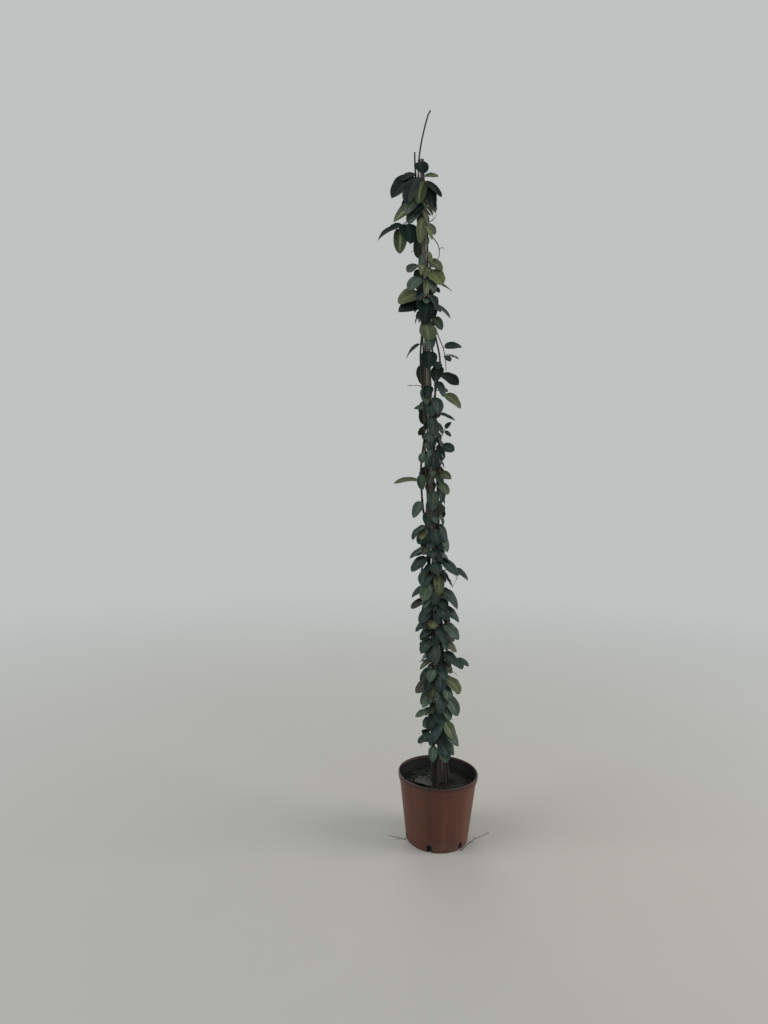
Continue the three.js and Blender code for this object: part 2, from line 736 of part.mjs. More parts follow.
function shootTube(shoot, stem) {
  const shares = Array.from({ length: SHOOT.steps + 1 }, (_, i) => i / SHOOT.steps);
  const points = shares.map((t) => shootCentre(shoot, stem, t));
  const radii = shares.map((t) => mix(SHOOT.radius, SHOOT.tipRadius, t));
  return tube(points, radii, SHOOT.sides);
}

function shootLeaf(shoot, stem, wanted, attempt) {
  const azimuth = radians(wanted.azimuth + attempt.turn);
  const rise = radians(wanted.rise - attempt.drop);
  const root = shootCentre(shoot, stem, wanted.along);
  const length = wanted.length * attempt.shrink;
  const tip = root.clone();
  tip.x += length * Math.cos(rise) * Math.cos(azimuth);
  tip.y += length * Math.cos(rise) * Math.sin(azimuth);
  tip.z += length * Math.sin(rise);
  return { ...leafDefaults(wanted), root, tip };
}

function growShoot(grown, shoot) {
  const stem = stemFacing(shoot.azimuth, shoot.height);
  const twig = shootTube(shoot, stem);
  const owner = "shoot at " + shoot.height;
  stand(twig, owner);
  grown.get(stem.name).push(twig);
  for (const wanted of shoot.leaves) {
    const leaf = attempts
      .map((attempt) => shootLeaf(shoot, stem, wanted, attempt))
      .find((tried) => isClear(leafSolid(tried, LEAF.bladeFrom), null) && isClear(leafSolid(tried), owner));
    if (!leaf) continue;
    stand(leafSolid(leaf), owner + " leaf");
    grown.get(stem.name).push(leafSolid(leaf));
  }
}

// The rest of the foliage: pairs of leaves at joints up each stem.

function isBare(azimuth, height) {
  const inStretch = height > BARE_SIDE.from && height < BARE_SIDE.to;
  return inStretch && Math.abs(turned(azimuth - BARE_SIDE.azimuth)) < BARE_SIDE.within;
}

function jointLeaves(stem, number) {
  const random = draws(SEEDS.joints + SEEDS.jointStep * number);
  const wanted = [];
  const first = JOINT.first + JOINT.stagger * number;
  const end = Math.min(stem.top, CANE.top) - JOINT.bareTop;
  for (let joint = 0; first + joint * JOINT.spacing < end; joint++) {
    const at = first + joint * JOINT.spacing + JOINT.jitter * (random() - 0.5);
    const facing = stemAzimuth(stem, at);
    const column = columnAt(at);
    const spread = PAIR.spreads[joint % 2];
    for (const hand of [1, -1]) {
      const [keep, turn, far, long, wide, tilt] = Array.from({ length: 6 }, random);
      const reach = column.reach * mix(PAIR.leastReach, 1, far);
      const length = mix(GROWN_LEAF.shortest, GROWN_LEAF.longest, long);
      const run = Math.max(reach - TWINE.radius, 0) + spread * PAIR.sideRun;
      const azimuth = facing + hand * (spread + mix(-PAIR.jitter, PAIR.jitter, turn));
      wanted.push({
        kept: keep < column.share && !isBare(azimuth, at),
        height: at,
        azimuth,
        reach: Math.min(reach, length * PAIR.mostRun + TWINE.radius),
        drop: Math.sqrt(Math.max(length ** 2 - run ** 2, (length * PAIR.leastDrop) ** 2)),
        width: mix(GROWN_LEAF.narrowest, GROWN_LEAF.widest, wide),
        face: faceOf(azimuth) + mix(-PAIR.faceJitter, PAIR.faceJitter, tilt),
        lift: mix(PAIR.leastLift, PAIR.mostLift, far),
        small: true,
      });
    }
  }
  return wanted.filter((leaf) => leaf.kept);
}

// The leaves of one curtain, each swung to one side of its row or the other.
function curtainLeaves(curtain, number) {
  const random = draws(SEEDS.curtains + SEEDS.curtainStep * number);
  const wanted = [];
  for (let height = curtain.from; height < curtain.to; height += curtain.spacing) {
    const [swing, far, low, wide] = Array.from({ length: 4 }, random);
    wanted.push({
      height,
      azimuth: curtain.azimuth + CURTAIN_LEAF.swing * (2 * swing - 1),
      reach: CURTAIN_LEAF.reach + CURTAIN_LEAF.reachJitter * (2 * far - 1),
      drop: CURTAIN_LEAF.drop + CURTAIN_LEAF.dropJitter * (2 * low - 1),
      width: mix(GROWN_LEAF.narrowest, GROWN_LEAF.widest, wide),
      small: true,
    });
  }
  return wanted;
}

// Roots, soil and the fallen leaf

// From the soil behind its notch, over the sill, and along the ground.
function rootPath(root) {
  const azimuth = radians(notchAzimuth(root.notch));
  const at = (reach, height) =>
    new THREE.Vector3(reach * Math.cos(azimuth), reach * Math.sin(azimuth), height);
  const lie = ROOT.radius + ROOT.lift;
  const route = [
    at(wallRadius(ROOT.exitHeight) - POT.wall, ROOT.exitHeight),
    at(POT.footRadius + ROOT.sillReach, ROOT.sillHeight),
    at(POT.footRadius + ROOT.floorReach, lie),
  ];
  for (const [x, y] of root.along) route.push(new THREE.Vector3(x, y, lie));
  const path = new THREE.CatmullRomCurve3(route, false, "centripetal").getPoints(2 * route.length);
  for (const point of path) point.z = Math.max(point.z, lie);
  return path;
}

function rootSolid(root) {
  const path = rootPath(root);
  const radii = path.map((_, i) => ROOT.radius * mix(1, ROOT.tipShare, i / path.length));
  return tube(path, radii, ROOT.sides);
}

function soilHeight(x, y) {
  const share = Math.hypot(x, y) / (POT.rimRadius - POT.wall);
  const wave = (2 * Math.PI) / SOIL.lumpLength;
  const cross = Math.sin(wave * (1.7 * y - 0.6 * x));
  const lumps = Math.sin(wave * x + SOIL.lumpPhase) * Math.cos(wave * y) + SOIL.crossLump * cross;
  return SOIL.top + SOIL.mound * (1 - share ** 2) + SOIL.lump * lumps * (1 - share ** 4);
}

// A hole of its own for each stem and for the cane, straight down from above the soil.
function soilHole(low, hole, sides) {
  const high = low.clone().setZ(POT.height);
  return tube([low, high], [hole, hole], sides);
}

function soilSolid() {
  const foot = POT.floorTop + SEAT_GAP;
  const sideRadius = (height) => wallRadius(height) - POT.wall - SOIL.clearance;
  const profile = [
    [0, foot],
    [sideRadius(foot) - SOIL.footBevel, foot],
    [sideRadius(SOIL.top), SOIL.top],
  ];
  for (let i = SOIL.rings - 1; i >= 0; i--)
    profile.push([(sideRadius(SOIL.top) * i) / SOIL.rings, SOIL.top + 1]);
  const geometry = new THREE.LatheGeometry(
    profile.map(([x, y]) => new THREE.Vector2(x, y)),
    POT.sides,
  );
  geometry.rotateX(Math.PI / 2);
  const at = geometry.attributes.position;
  for (let i = 0; i < at.count; i++)
    if (at.getZ(i) > SOIL.top) at.setZ(i, soilHeight(at.getX(i), at.getY(i)));
  let soil = solidOf(geometry);
  for (const stem of STEMS) {
    const low = stemCentre(stem, SOIL.top - TWINE.buriedDepth - SEAT_GAP);
    soil = soil.subtract(soilHole(low, stemRadius(stem, 0) + SOIL.stemHole, 2 * TWINE.sides));
  }
  const hole = CANE.footRadius + SOIL.caneHole;
  const caneHole = [caneCentre(CANE.foot - SEAT_GAP), caneCentre(POT.height)];
  return soil.subtract(tube(caneHole, [hole, hole], CANE.sides));
}

function fallenLeafSolid() {
  const [root, tip] = [FALLEN_LEAF.from, FALLEN_LEAF.to].map(
    ([x, y]) => new THREE.Vector3(x, y, soilHeight(x, y) + FALLEN_LEAF.lift),
  );
  return leafSolid({ root, tip, width: FALLEN_LEAF.width, face: 0, lift: 90, bend: FALLEN_LEAF.bend });
}

// The whole plant

const MATERIALS = {
  pot: new THREE.MeshStandardMaterial({ color: 0x7a4436, roughness: 0.55, metalness: 0 }),
  soil: new THREE.MeshStandardMaterial({ color: 0x2a241e, roughness: 1, metalness: 0 }),
  cane: new THREE.MeshStandardMaterial({ color: 0x8a7256, roughness: 0.6, metalness: 0 }),
  foliage: new THREE.MeshStandardMaterial({ color: 0x2f4a2c, roughness: 0.45, metalness: 0 }),
  litter: new THREE.MeshStandardMaterial({ color: 0x6f6550, roughness: 0.9, metalness: 0 }),
};

const plant = new THREE.Group();

function addMesh(name, solid, material) {
  const mesh = new THREE.Mesh(geometryOf(solid), material);
  mesh.name = name;
  plant.add(mesh);
}

const pot = potSolid();
const cane = caneSolid();
const soil = soilSolid();
const fallen = fallenLeafSolid();
stand(pot, "pot");
stand(soil, "soil");
stand(cane, "cane");
stand(fallen, "fallen leaf");

const grown = new Map();
for (const stem of STEMS) {
  const solid = stemTube(stem);
  stand(solid, stem.name);
  grown.set(stem.name, [solid]);
}
for (const shoot of SHOOTS) growShoot(grown, shoot);

for (const wanted of STANDING_LEAVES.concat(...CURTAINS.map(curtainLeaves)))
  growLeaf(grown, stemFacing(wanted.azimuth, wanted.height), wanted);
STEMS.forEach((stem, number) => {
  for (const wanted of jointLeaves(stem, number)) growLeaf(grown, stem, wanted);
});

addMesh("pot", pot, MATERIALS.pot);
addMesh("soil", soil, MATERIALS.soil);
addMesh("bamboo_cane", cane, MATERIALS.cane);
for (const stem of STEMS)
  addMesh(stem.name, wasm.Manifold.union(grown.get(stem.name)), MATERIALS.foliage);
addMesh("fallen_leaf", fallen, MATERIALS.litter);
for (const root of ROOTS) addMesh(root.name, rootSolid(root), MATERIALS.litter);

export default plant;
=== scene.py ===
"""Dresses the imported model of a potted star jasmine: pot, soil, cane, leafy stems, fallen leaf and roots.

Sizes are in millimetres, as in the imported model's source, and become metres when a mesh is made.
"""

import itertools
import math

import bpy
import numpy as np
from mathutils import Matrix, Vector, kdtree, noise
from mathutils.bvhtree import BVHTree


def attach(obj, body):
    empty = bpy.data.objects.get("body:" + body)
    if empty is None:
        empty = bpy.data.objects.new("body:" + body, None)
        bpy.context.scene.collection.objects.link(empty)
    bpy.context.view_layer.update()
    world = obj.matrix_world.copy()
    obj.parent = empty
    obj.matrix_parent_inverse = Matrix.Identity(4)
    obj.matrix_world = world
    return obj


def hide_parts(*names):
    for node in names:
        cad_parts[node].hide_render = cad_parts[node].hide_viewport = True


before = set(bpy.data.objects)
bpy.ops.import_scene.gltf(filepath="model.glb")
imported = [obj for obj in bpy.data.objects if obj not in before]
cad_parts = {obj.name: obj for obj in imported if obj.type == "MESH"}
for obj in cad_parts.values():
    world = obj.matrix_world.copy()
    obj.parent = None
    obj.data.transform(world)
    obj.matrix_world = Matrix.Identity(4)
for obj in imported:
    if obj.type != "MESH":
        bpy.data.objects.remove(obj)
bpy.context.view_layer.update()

MM = 0.001
BODY = "root"
TURN = 2 * math.pi
# The radius that stands for none where rings close in the middle of the pot.
MIDDLE = 0.01
# What a vertex knows of its colour where its material asks for none.
PLAIN = (0.1, 0.1, 0.1, 0.0)
# Where the swerves along x, y and z are read in one and the same noise.
WANDER_OFFSETS = [(9.3, -1.5, -8.0), (-4.7, 6.1, 2.9), (3.3, -7.9, 5.6)]

# The photograph's view

PHOTO = {"height": 1024, "focal": 653.0, "centre_y": 480.5}
CAMERA_PLACE = (-0.1363, -1.483, 0.8054)
CAMERA_ROLL = math.radians(-1.2)
SENSOR = 36.0

# The holder

POT = {
    "rim": 90.0, "height": 148.0, "collar": 12.0, "slope": 8.0, "step": 4.5, "collar_wall": 3.2,
    "foot": 69.0, "wall": 1.8, "floor_top": 4.5, "recess": 2.5, "pad": 24.0, "ring": 9.0, "sides": 168,
    "inside_darkening_edge": (1.5, 7.0),
}
NOTCH = {"count": 6, "first": -108.0, "width": 8.7, "height": 16.0, "depth": 14.0, "past": 1.0}
SOIL = {
    "top": 121.0, "mound": 5.0, "lump": 1.6, "lump_length": 36.0, "clearance": 0.5, "sides": 200,
    "rings": 64,
}
CRUMBLY = {"fine": 1.3, "fineness": 0.16, "coarse": 1.2, "coarseness": 0.055, "sunk": 0.6}
CANE = {
    "foot": 12.0, "top": 1542.0, "foot_radius": 6.8, "top_radius": 5.4, "from_x": 8.0, "to_x": -65.0,
    "back": 12.0, "first_node": 150.0, "spacing": 196.0, "swell": 0.9, "sides": 30, "row": 6.0,
}
# Rows of vertices round each joint of the cane, from its middle, then the size, place and length of the
# swellings above and below it, of the groove between them, and of the dark line in that.
NODE_STEPS = (-7, -4.5, -3, -2, -1.2, -0.4, 0.4, 1.2, 2, 3.2, 5, 7.5)
NODE = {
    "above": (0.95, 1.4, 1.6), "below": (0.7, -2.2, 1.3), "groove": (0.35, -0.5, 0.5),
    "dark": (0.75, -0.5, 1.0), "below_top": 5,
}
# The cut top of the cane, from its worn outer edge over a raised rim into the bore, and the dark of these
# last four rings: a little over the rim, then painted shade that deepens down the bore.
CUT = {
    "from": 0.5, "worn": 0.25, "rise": 0.45, "outer": 0.35, "inner": 0.3, "bore": 0.48, "deep": 14,
    "dark": (0.1, 0.3, 0.7, 1.0),
}

# The plant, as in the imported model

TWINE = {
    "turn": 300.0, "radius": 12.5, "wave": 1.6, "wave_length": 310.0, "spread": 5.0, "spread_height": 70.0,
    "sway": 9.0, "sway_length": 430.0, "straight": 9.0, "buried": 42.0,
}
STEMS = [
    {"name": "leafy_stem_1_with_whip", "start": -65, "top": 1641, "phase": 0.4, "whip": True},
    {"name": "leafy_stem_2", "start": -116, "top": 1558, "phase": 2.1},
    {"name": "leafy_stem_3", "start": -13, "top": 1506, "phase": 3.3},
    {"name": "leafy_stem_4", "start": -168, "top": 1462, "phase": 5.0},
    {"name": "leafy_stem_5", "start": 38, "top": 1404, "phase": 1.2},
    {"name": "leafy_stem_6", "start": 141, "top": 1312, "phase": 4.2},
    {"name": "leafy_stem_7", "start": 90, "top": 1182, "phase": 0.9},
]
STEM_RADIUS = {"foot": 3.0, "top": 1.8}
STEM_SKIN = {
    "sides": 12, "step": 4.0, "swelling": 0.55, "swelling_length": 2.6, "swelling_below": 0.5, "most": 1.2,
    "cut": 0.7, "rough": 0.10, "fineness": 0.35,
}
WHIP = {"from": 1500.0, "swing": 22.0, "curve": 1.6, "tip_radius": 1.4, "swollen": 1.25, "blend": 30.0}
BOWS = [
    {"azimuth": 180, "height": 1112, "reach": 8},
    {"azimuth": 180, "height": 848, "reach": 13},
    {"azimuth": 180, "height": 735, "reach": 12},
    {"azimuth": 0, "height": 856, "reach": 9},
    {"azimuth": 0, "height": 1070, "reach": 17},
    {"azimuth": 180, "height": 1545, "reach": 5},
    {"azimuth": -160, "height": 185, "reach": 7},
]
BOW_SPREAD = {"degrees": 28.0, "height": 48.0}
STALK_SHARE = 0.13
LEAF_BEND = 24.0
LEAF_FOLD = 14.0
LIGHT_FROM = {"azimuth": -90.0, "pull": 0.7, "lift": 34.0}


def leaf_at(along, azimuth, length, rise, width, tone, **more):
    """One leaf of a side shoot."""
    return dict(along=along, azimuth=azimuth, length=length, rise=rise, width=width, tone=tone, **more)


SHOOTS = [
    {"height": 1408, "azimuth": 184, "reach": 58, "end": 1382, "sag": 4, "leaves": [
        leaf_at(0.96, 182, 60, -32, 0.5, "deep", bend=44),
        leaf_at(0.92, -104, 68, -80, 0.52, "striped"),
        leaf_at(0.66, -62, 64, -66, 0.76, "deep"),
        leaf_at(0.78, 166, 42, -34, 0.56, "deep", face=-100),
    ]},
    {"height": 1372, "azimuth": 6, "reach": 30, "end": 1314, "sag": 0, "bow": 13, "leaves": []},
    {"height": 1160, "azimuth": -12, "reach": 40, "end": 1058, "sag": -4, "bow": 8, "leaves": [
        leaf_at(0.44, 0, 46, 6, 0.54, "dark", face=-80, lift=36),
        leaf_at(0.62, -50, 24, -50, 0.72, "brown", face=-80),
        leaf_at(0.6, 12, 36, -12, 0.42, "brown", lift=56),
    ]},
    {"height": 1014, "azimuth": 0, "reach": 32, "end": 1006, "sag": 3, "leaves": [
        leaf_at(0.96, -8, 55, -38, 0.54, "olive", face=-80),
        leaf_at(0.7, 40, 26, 18, 0.5, "dark"),
    ]},
    {"height": 902, "azimuth": 2, "reach": 34, "end": 928, "sag": -4, "leaves": [
        leaf_at(0.96, 20, 22, 52, 0.56, "dark", face=-80),
        leaf_at(0.86, -12, 22, -40, 0.56, "dark", face=-80),
    ]},
    {"height": 620, "azimuth": 4, "reach": 46, "end": 607, "sag": 4, "leaves": [
        leaf_at(0.96, -4, 44, -36, 0.5, "dark"),
        leaf_at(0.8, 50, 30, -14, 0.5, "mid"),
    ]},
    {"height": 409, "azimuth": 2, "reach": 42, "end": 402, "sag": 3, "leaves": [
        leaf_at(0.96, 6, 38, -24, 0.5, "dark"),
        leaf_at(0.75, -46, 36, -36, 0.56, "mid"),
    ]},
]
SHOOT = {"radius": 1.25, "tip_radius": 1.0, "rings": 26, "sides": 9, "wander": 1.6, "fineness": 0.05}


def leaf_out(height, azimuth, reach, drop, width, tone, **more):
    """One leaf that stands out of the column."""
    return dict(height=height, azimuth=azimuth, reach=reach, drop=drop, width=width, tone=tone, **more)


STANDING_LEAVES = [
    leaf_out(1533, -84, 25, 36, 0.92, "deep"),
    leaf_out(1508, 184, 70, 60, 0.72, "deep", face=-110),
    leaf_out(1500, -146, 60, 74, 0.52, "deep", face=-112),
    leaf_out(1512, 160, 48, 20, 0.8, "deep", face=-100, lift=40),
    leaf_out(1492, -102, 31, 68, 0.44, "striped"),
    leaf_out(1484, -30, 33, 62, 0.5, "deep", face=-85),
    leaf_out(1490, -22, 47, 50, 0.46, "deep", face=-72),
    leaf_out(1497, 2, 38, -8, 0.44, "pale", face=-85, lift=24),
    leaf_out(1454, -142, 44, 46, 0.72, "mid", face=-100),
    leaf_out(1440, -172, 68, 52, 0.62, "striped", face=-105),
    leaf_out(1470, 178, 44, 44, 0.8, "deep", face=-100),
    leaf_out(1428, -162, 42, 48, 0.7, "mid", face=-100),
    leaf_out(1412, -122, 26, 74, 0.3, "pale"),
    leaf_out(1394, -10, 28, 32, 0.62, "grey", face=-75),
    leaf_out(1300, 196, 42, 20, 0.94, "grey", face=-100),
    leaf_out(1306, -14, 44, 18, 0.86, "olive", face=-80),
    leaf_out(1284, -28, 42, 36, 0.9, "yellow", face=-80),
    leaf_out(1306, -112, 29, 38, 0.36, "pale"),
    leaf_out(1296, -72, 28, 36, 0.34, "pale"),
    leaf_out(1264, -96, 29, 44, 0.4, "pale"),
    leaf_out(1340, 172, 32, 10, 0.6, "dark", lift=50),
    leaf_out(1266, 6, 62, 26, 0.46, "brown", lift=46),
    leaf_out(1270, -152, 44, 34, 0.78, "mid", face=-100),
    leaf_out(1238, 184, 66, 26, 0.78, "olive", face=-105),
    leaf_out(1212, 188, 64, 24, 0.78, "deep", face=-100),
    leaf_out(1218, -96, 30, 62, 0.62, "deep"),
    leaf_out(1214, -50, 36, 32, 0.64, "dark"),
    leaf_out(1212, 2, 60, 30, 0.46, "dark", lift=42),
    leaf_out(1166, -82, 32, 46, 0.9, "olive"),
    leaf_out(1120, 178, 50, 34, 0.46, "deep", lift=48),
    leaf_out(1104, -96, 34, 48, 0.78, "deep"),
    leaf_out(1078, -28, 30, 20, 0.6, "dark"),
    leaf_out(1022, 176, 52, 0, 0.4, "brown", lift=80),
    leaf_out(1052, -14, 71, 27, 0.72, "deep", face=-80),
    leaf_out(1024, -106, 31, 32, 0.76, "deep"),
    leaf_out(1036, -26, 38, 40, 0.66, "dark"),
    leaf_out(1000, -32, 36, 36, 0.66, "dark"),
    leaf_out(972, 196, 38, 4, 0.6, "mid", face=-110),
    leaf_out(980, 158, 34, -14, 0.5, "mid"),
    leaf_out(962, -10, 57, 20, 0.42, "dark", lift=56),
    leaf_out(886, -22, 57, 8, 0.76, "dark", face=-80),
    leaf_out(872, 206, 34, 26, 0.6, "mid"),
    leaf_out(824, -28, 50, 10, 0.8, "olive", face=-80),
    leaf_out(806, 181, 89, 6, 0.34, "olive", lift=50),
    leaf_out(806, -40, 44, 30, 0.8, "olive"),
    leaf_out(780, -12, 32, 26, 0.62, "dark"),
    leaf_out(762, 192, 46, 40, 0.6, "mid", face=-110),
    leaf_out(768, -98, 34, 46, 0.66, "brown"),
    leaf_out(704, 184, 50, 32, 0.46, "dark", bend=70),
    leaf_out(694, -12, 33, 50, 0.56, "mid"),
    leaf_out(656, 182, 56, 27, 0.52, "dark", lift=46),
    leaf_out(636, 194, 56, 34, 0.62, "dark", face=-110),
    leaf_out(634, -18, 58, 40, 0.6, "dark"),
    leaf_out(600, -76, 34, 42, 0.52, "olive"),
    leaf_out(566, 182, 56, 24, 0.48, "dark", lift=46),
    leaf_out(562, -16, 56, 44, 0.6, "dark"),
    leaf_out(539, 184, 57, 24, 0.46, "brown", lift=46),
    leaf_out(522, 206, 44, 36, 0.62, "dark"),
    leaf_out(523, -12, 57, 32, 0.6, "dark"),
    leaf_out(494, 176, 48, 32, 0.48, "dark", lift=48),
    leaf_out(487, -20, 54, 38, 0.62, "mid"),
    leaf_out(476, 204, 40, 27, 0.56, "dark"),
    leaf_out(452, 198, 42, 34, 0.6, "dark"),
    leaf_out(446, -14, 46, 26, 0.58, "olive"),
    leaf_out(422, -16, 54, 40, 0.6, "dark"),
    leaf_out(396, 178, 43, 0, 0.4, "brown", lift=76),
    leaf_out(362, -12, 54, 34, 0.68, "olive"),
    leaf_out(356, 192, 55, 26, 0.62, "brown", face=-110),
    leaf_out(326, -20, 50, 46, 0.62, "mid"),
    leaf_out(284, 178, 54, 16, 0.52, "mid", lift=48),
    leaf_out(250, -24, 46, 40, 0.62, "mid"),
    leaf_out(234, 188, 51, 20, 0.52, "dark"),
    leaf_out(222, -62, 36, 34, 0.7, "mid"),
    leaf_out(214, -150, 36, 26, 0.6, "mid"),
]

# Height, reach and share of the leafy column.
COLUMN = [
    (165, 42, 0.5), (220, 46, 0.9), (640, 48, 1.0), (700, 36, 0.45), (780, 36, 0.45), (900, 36, 0.85),
    (990, 34, 0.8), (1040, 30, 0.2), (1160, 30, 0.2), (1215, 38, 0.7), (1270, 34, 0.5), (1330, 28, 0.15),
    (1415, 34, 0.15), (1450, 38, 0.9), (1500, 42, 0.9),
]
# One side of the column is bare for a stretch, where the stems show.
BARE_SIDE = {"azimuth": 180, "within": 60, "from": 770, "to": 1120}
JOINT = {"first": 222, "stagger": 6, "spacing": 41, "jitter": 12, "bare_top": 30, "below_top": 8}
PAIR = {
    "spreads": (56, 22), "jitter": 16, "least_reach": 0.72, "side_run": 0.12, "most_run": 0.9,
    "least_drop": 0.3, "face_jitter": 25, "least_lift": 15, "most_lift": 60,
}
GROWN = {"shortest": 38, "longest": 62, "narrowest": 0.52, "widest": 0.72}
SEEDS = {
    "joints": 9001, "joint_step": 37, "joint_tones": 640, "joint_tone_step": 29, "curtains": 5003,
    "curtain_step": 41, "curtain_tones": 310, "curtain_tone_step": 31, "inner": 5150, "forms": 100,
    "form_step": 17, "bud": 9, "fallen": 58, "crumbs": 411, "moss": 77,
}
CURTAINS = [
    {"azimuth": -90, "from": 226, "to": 1000, "spacing": 38},
    {"azimuth": -150, "from": 236, "to": 980, "spacing": 42},
    {"azimuth": -30, "from": 252, "to": 980, "spacing": 42},
    {"azimuth": 90, "from": 232, "to": 1010, "spacing": 64},
    {"azimuth": 90, "from": 1200, "to": 1480, "spacing": 64},
]
CURTAIN_LEAF = {"swing": 38, "reach": 27, "reach_jitter": 4, "drop": 44, "drop_jitter": 7}
TONE_DRAWS = ["dark"] * 12 + ["mid"] * 7 + ["olive", "grey", "brown"]
SHRINKS = (1, 0.84, 0.7)
DROPS = (0, 8, -8)
TURNS = (0, 11, -11, 22, -22, 33, -33)
ATTEMPTS = [(shrink, turn, drop) for shrink in SHRINKS for turn in TURNS for drop in DROPS]
SAME_POINT = 0.05

FALLEN = {
    "from": (-14, -30), "to": (-52, 6), "lift": 2.0, "width": 0.62, "bend": 50,
    "form": {"wave": 0.12, "fold": 0.6, "tip": 0.6, "tail": 0.6, "curl": 0.02},
}
ROOT = {
    "radius": 0.8, "lift": 0.1, "exit": 7.0, "sill": 4.5, "sill_reach": 2.0, "floor_reach": 6.0,
    "step": 1.5, "tip": 0.4, "fork_tip": 0.2, "wander": 0.9, "fineness": 0.12, "sides": 8,
}
ROOTS = [
    {"name": "root_right", "notch": 1, "along": [(60, -40), (82, -12), (100, 2), (117, 15)]},
    {"name": "root_left", "notch": 5, "along": [(-86, -10), (-101, -4)]},
]

# Blade colours, and how pale the stripe along the rib is.
TONES = {
    "deep": ((0.0042, 0.0118, 0.0098), 0.04),
    "dark": ((0.0235, 0.0400, 0.0365), 0.06),
    "mid": ((0.0515, 0.0785, 0.0610), 0.12),
    "olive": ((0.074, 0.087, 0.049), 0.18),
    "yellow": ((0.116, 0.134, 0.057), 0.12),
    "striped": ((0.056, 0.076, 0.042), 0.90),
    "pale": ((0.102, 0.118, 0.068), 0.40),
    "brown": ((0.040, 0.037, 0.030), 0.05),
    "grey": ((0.044, 0.054, 0.044), 0.15),
}


# Arithmetic

def turned(degrees):
    return (degrees + 180) % 360 - 180


def mix(a, b, t):
    return a + (b - a) * t


def bell(x, spread):
    return math.exp(-0.5 * (x / spread) ** 2)


def draws(seed):
    """A small generator of even draws from 0 to 1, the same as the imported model's."""
    state = seed
    while True:
        state = state * 48271 % 2147483647
        yield state / 2147483647


def drawn(random, count):
    return [next(random) for _ in range(count)]


def column_at(height):
    heights, reaches, shares = zip(*COLUMN)
    return float(np.interp(height, heights, reaches)), float(np.interp(height, heights, shares))


def polar(azimuth, reach):
    return Vector((reach * math.cos(math.radians(azimuth)), reach * math.sin(math.radians(azimuth)), 0))


# Meshes

class Parts:
    """Vertices, faces and what each vertex knows of itself, gathered before they become one mesh."""

    def __init__(self):
        self.vertices = []
        self.faces = []
        self.materials = []
        self.colours = []
        self.places = []
        self.count = 0

    def add(self, vertices, faces, material=0, colour=PLAIN, places=None):
        vertices = np.asarray(vertices, float)
        self.vertices.append(vertices)
        for face in faces:
            self.faces.append([i + self.count for i in face])
        self.materials += [material] * len(faces)
        self.colours.append(np.broadcast_to(np.asarray(colour, float), (len(vertices), 4)))
        self.places.append(np.zeros((len(vertices), 3)) if places is None else places)
        self.count += len(vertices)

    def add_rings(self, rings, material=0, colour=PLAIN):
        """A closed skin over rows of rings, with one colour or one for each vertex."""
        rows, sides, _ = rings.shape
        self.add(rings.reshape(-1, 3), ring_faces(rows, sides), material, np.reshape(colour, (-1, 4)))

    def mesh(self, name, materials=()):
        mesh = bpy.data.meshes.new(name)
        mesh.from_pydata((np.concatenate(self.vertices) * MM).tolist(), [], self.faces)
        for material in materials:
            mesh.materials.append(material)
        mesh.polygons.foreach_set("material_index", self.materials)
        colour = mesh.attributes.new("leaf_colour", "FLOAT_COLOR", "POINT")
        colour.data.foreach_set("color", np.concatenate(self.colours).ravel())
        place = mesh.attributes.new("leaf_place", "FLOAT_VECTOR", "POINT")
        place.data.foreach_set("vector", np.concatenate(self.places).ravel())
        return mesh

    def piece(self, name, materials, slot, *nodes, sharp=40):
        """The object, riding on the body, with its materials and the nodes that it stands for."""
        finish_piece(name, self.mesh(name, materials), nodes, sharp)


def linked(name, data):
    """A new object in the scene."""
    made = bpy.data.objects.new(name, data)
    bpy.context.scene.collection.objects.link(made)
    return made


def finish_piece(name, mesh, nodes, sharp):
    mesh.validate()
    mesh.shade_smooth()
    mesh.set_sharp_from_angle(angle=math.radians(sharp))
    made = linked(name, mesh)
    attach(made, BODY)
    if nodes:
        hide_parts(*nodes)


def rings_of(points, radii, sides, tangents=None):
    """Rings of vertices round a path, turned as little as possible from one to the next."""
    points = np.asarray(points, float)
    if tangents is None:
        tangents = np.gradient(points, axis=0)
    tangents = tangents / np.linalg.norm(tangents, axis=1, keepdims=True)
    side = np.array([1.0, 0.0, 0.0])
    angles = TURN * np.arange(sides) / sides
    rings = []
    for point, radius, along in zip(points, radii, tangents):
        side = side - along * side.dot(along)
        side /= np.linalg.norm(side)
        across = np.cross(along, side)
        rings.append(point + radius * (np.cos(angles)[:, None] * side + np.sin(angles)[:, None] * across))
    return np.array(rings)


def turned_rings(profile, sides):
    """Rings of vertices round the middle of the pot, from the radius and height of each."""
    profile = np.array(profile, float)
    angles = TURN * np.arange(sides) / sides
    radii, heights = profile[:, :1], profile[:, 1:]
    return np.stack([radii * np.cos(angles), radii * np.sin(angles), np.repeat(heights, sides, 1)], -1)


def ring_marks(shares, sides):
    """A colour for each vertex of the rings, which holds the ring's share as its alpha."""
    colours = np.zeros((len(shares), sides, 4))
    colours[:, :, 3] = np.asarray(shares)[:, None]
    return colours


def ring_faces(rows, sides):
    """Quads between the rings, and a face over each end."""
    faces = []
    for i in range(rows - 1):
        for k in range(sides):
            after = (k + 1) % sides
            faces.append((i * sides + k, i * sides + after, (i + 1) * sides + after, (i + 1) * sides + k))
    faces.append(tuple(range(sides))[::-1])
    faces.append(tuple((rows - 1) * sides + k for k in range(sides)))
    return faces


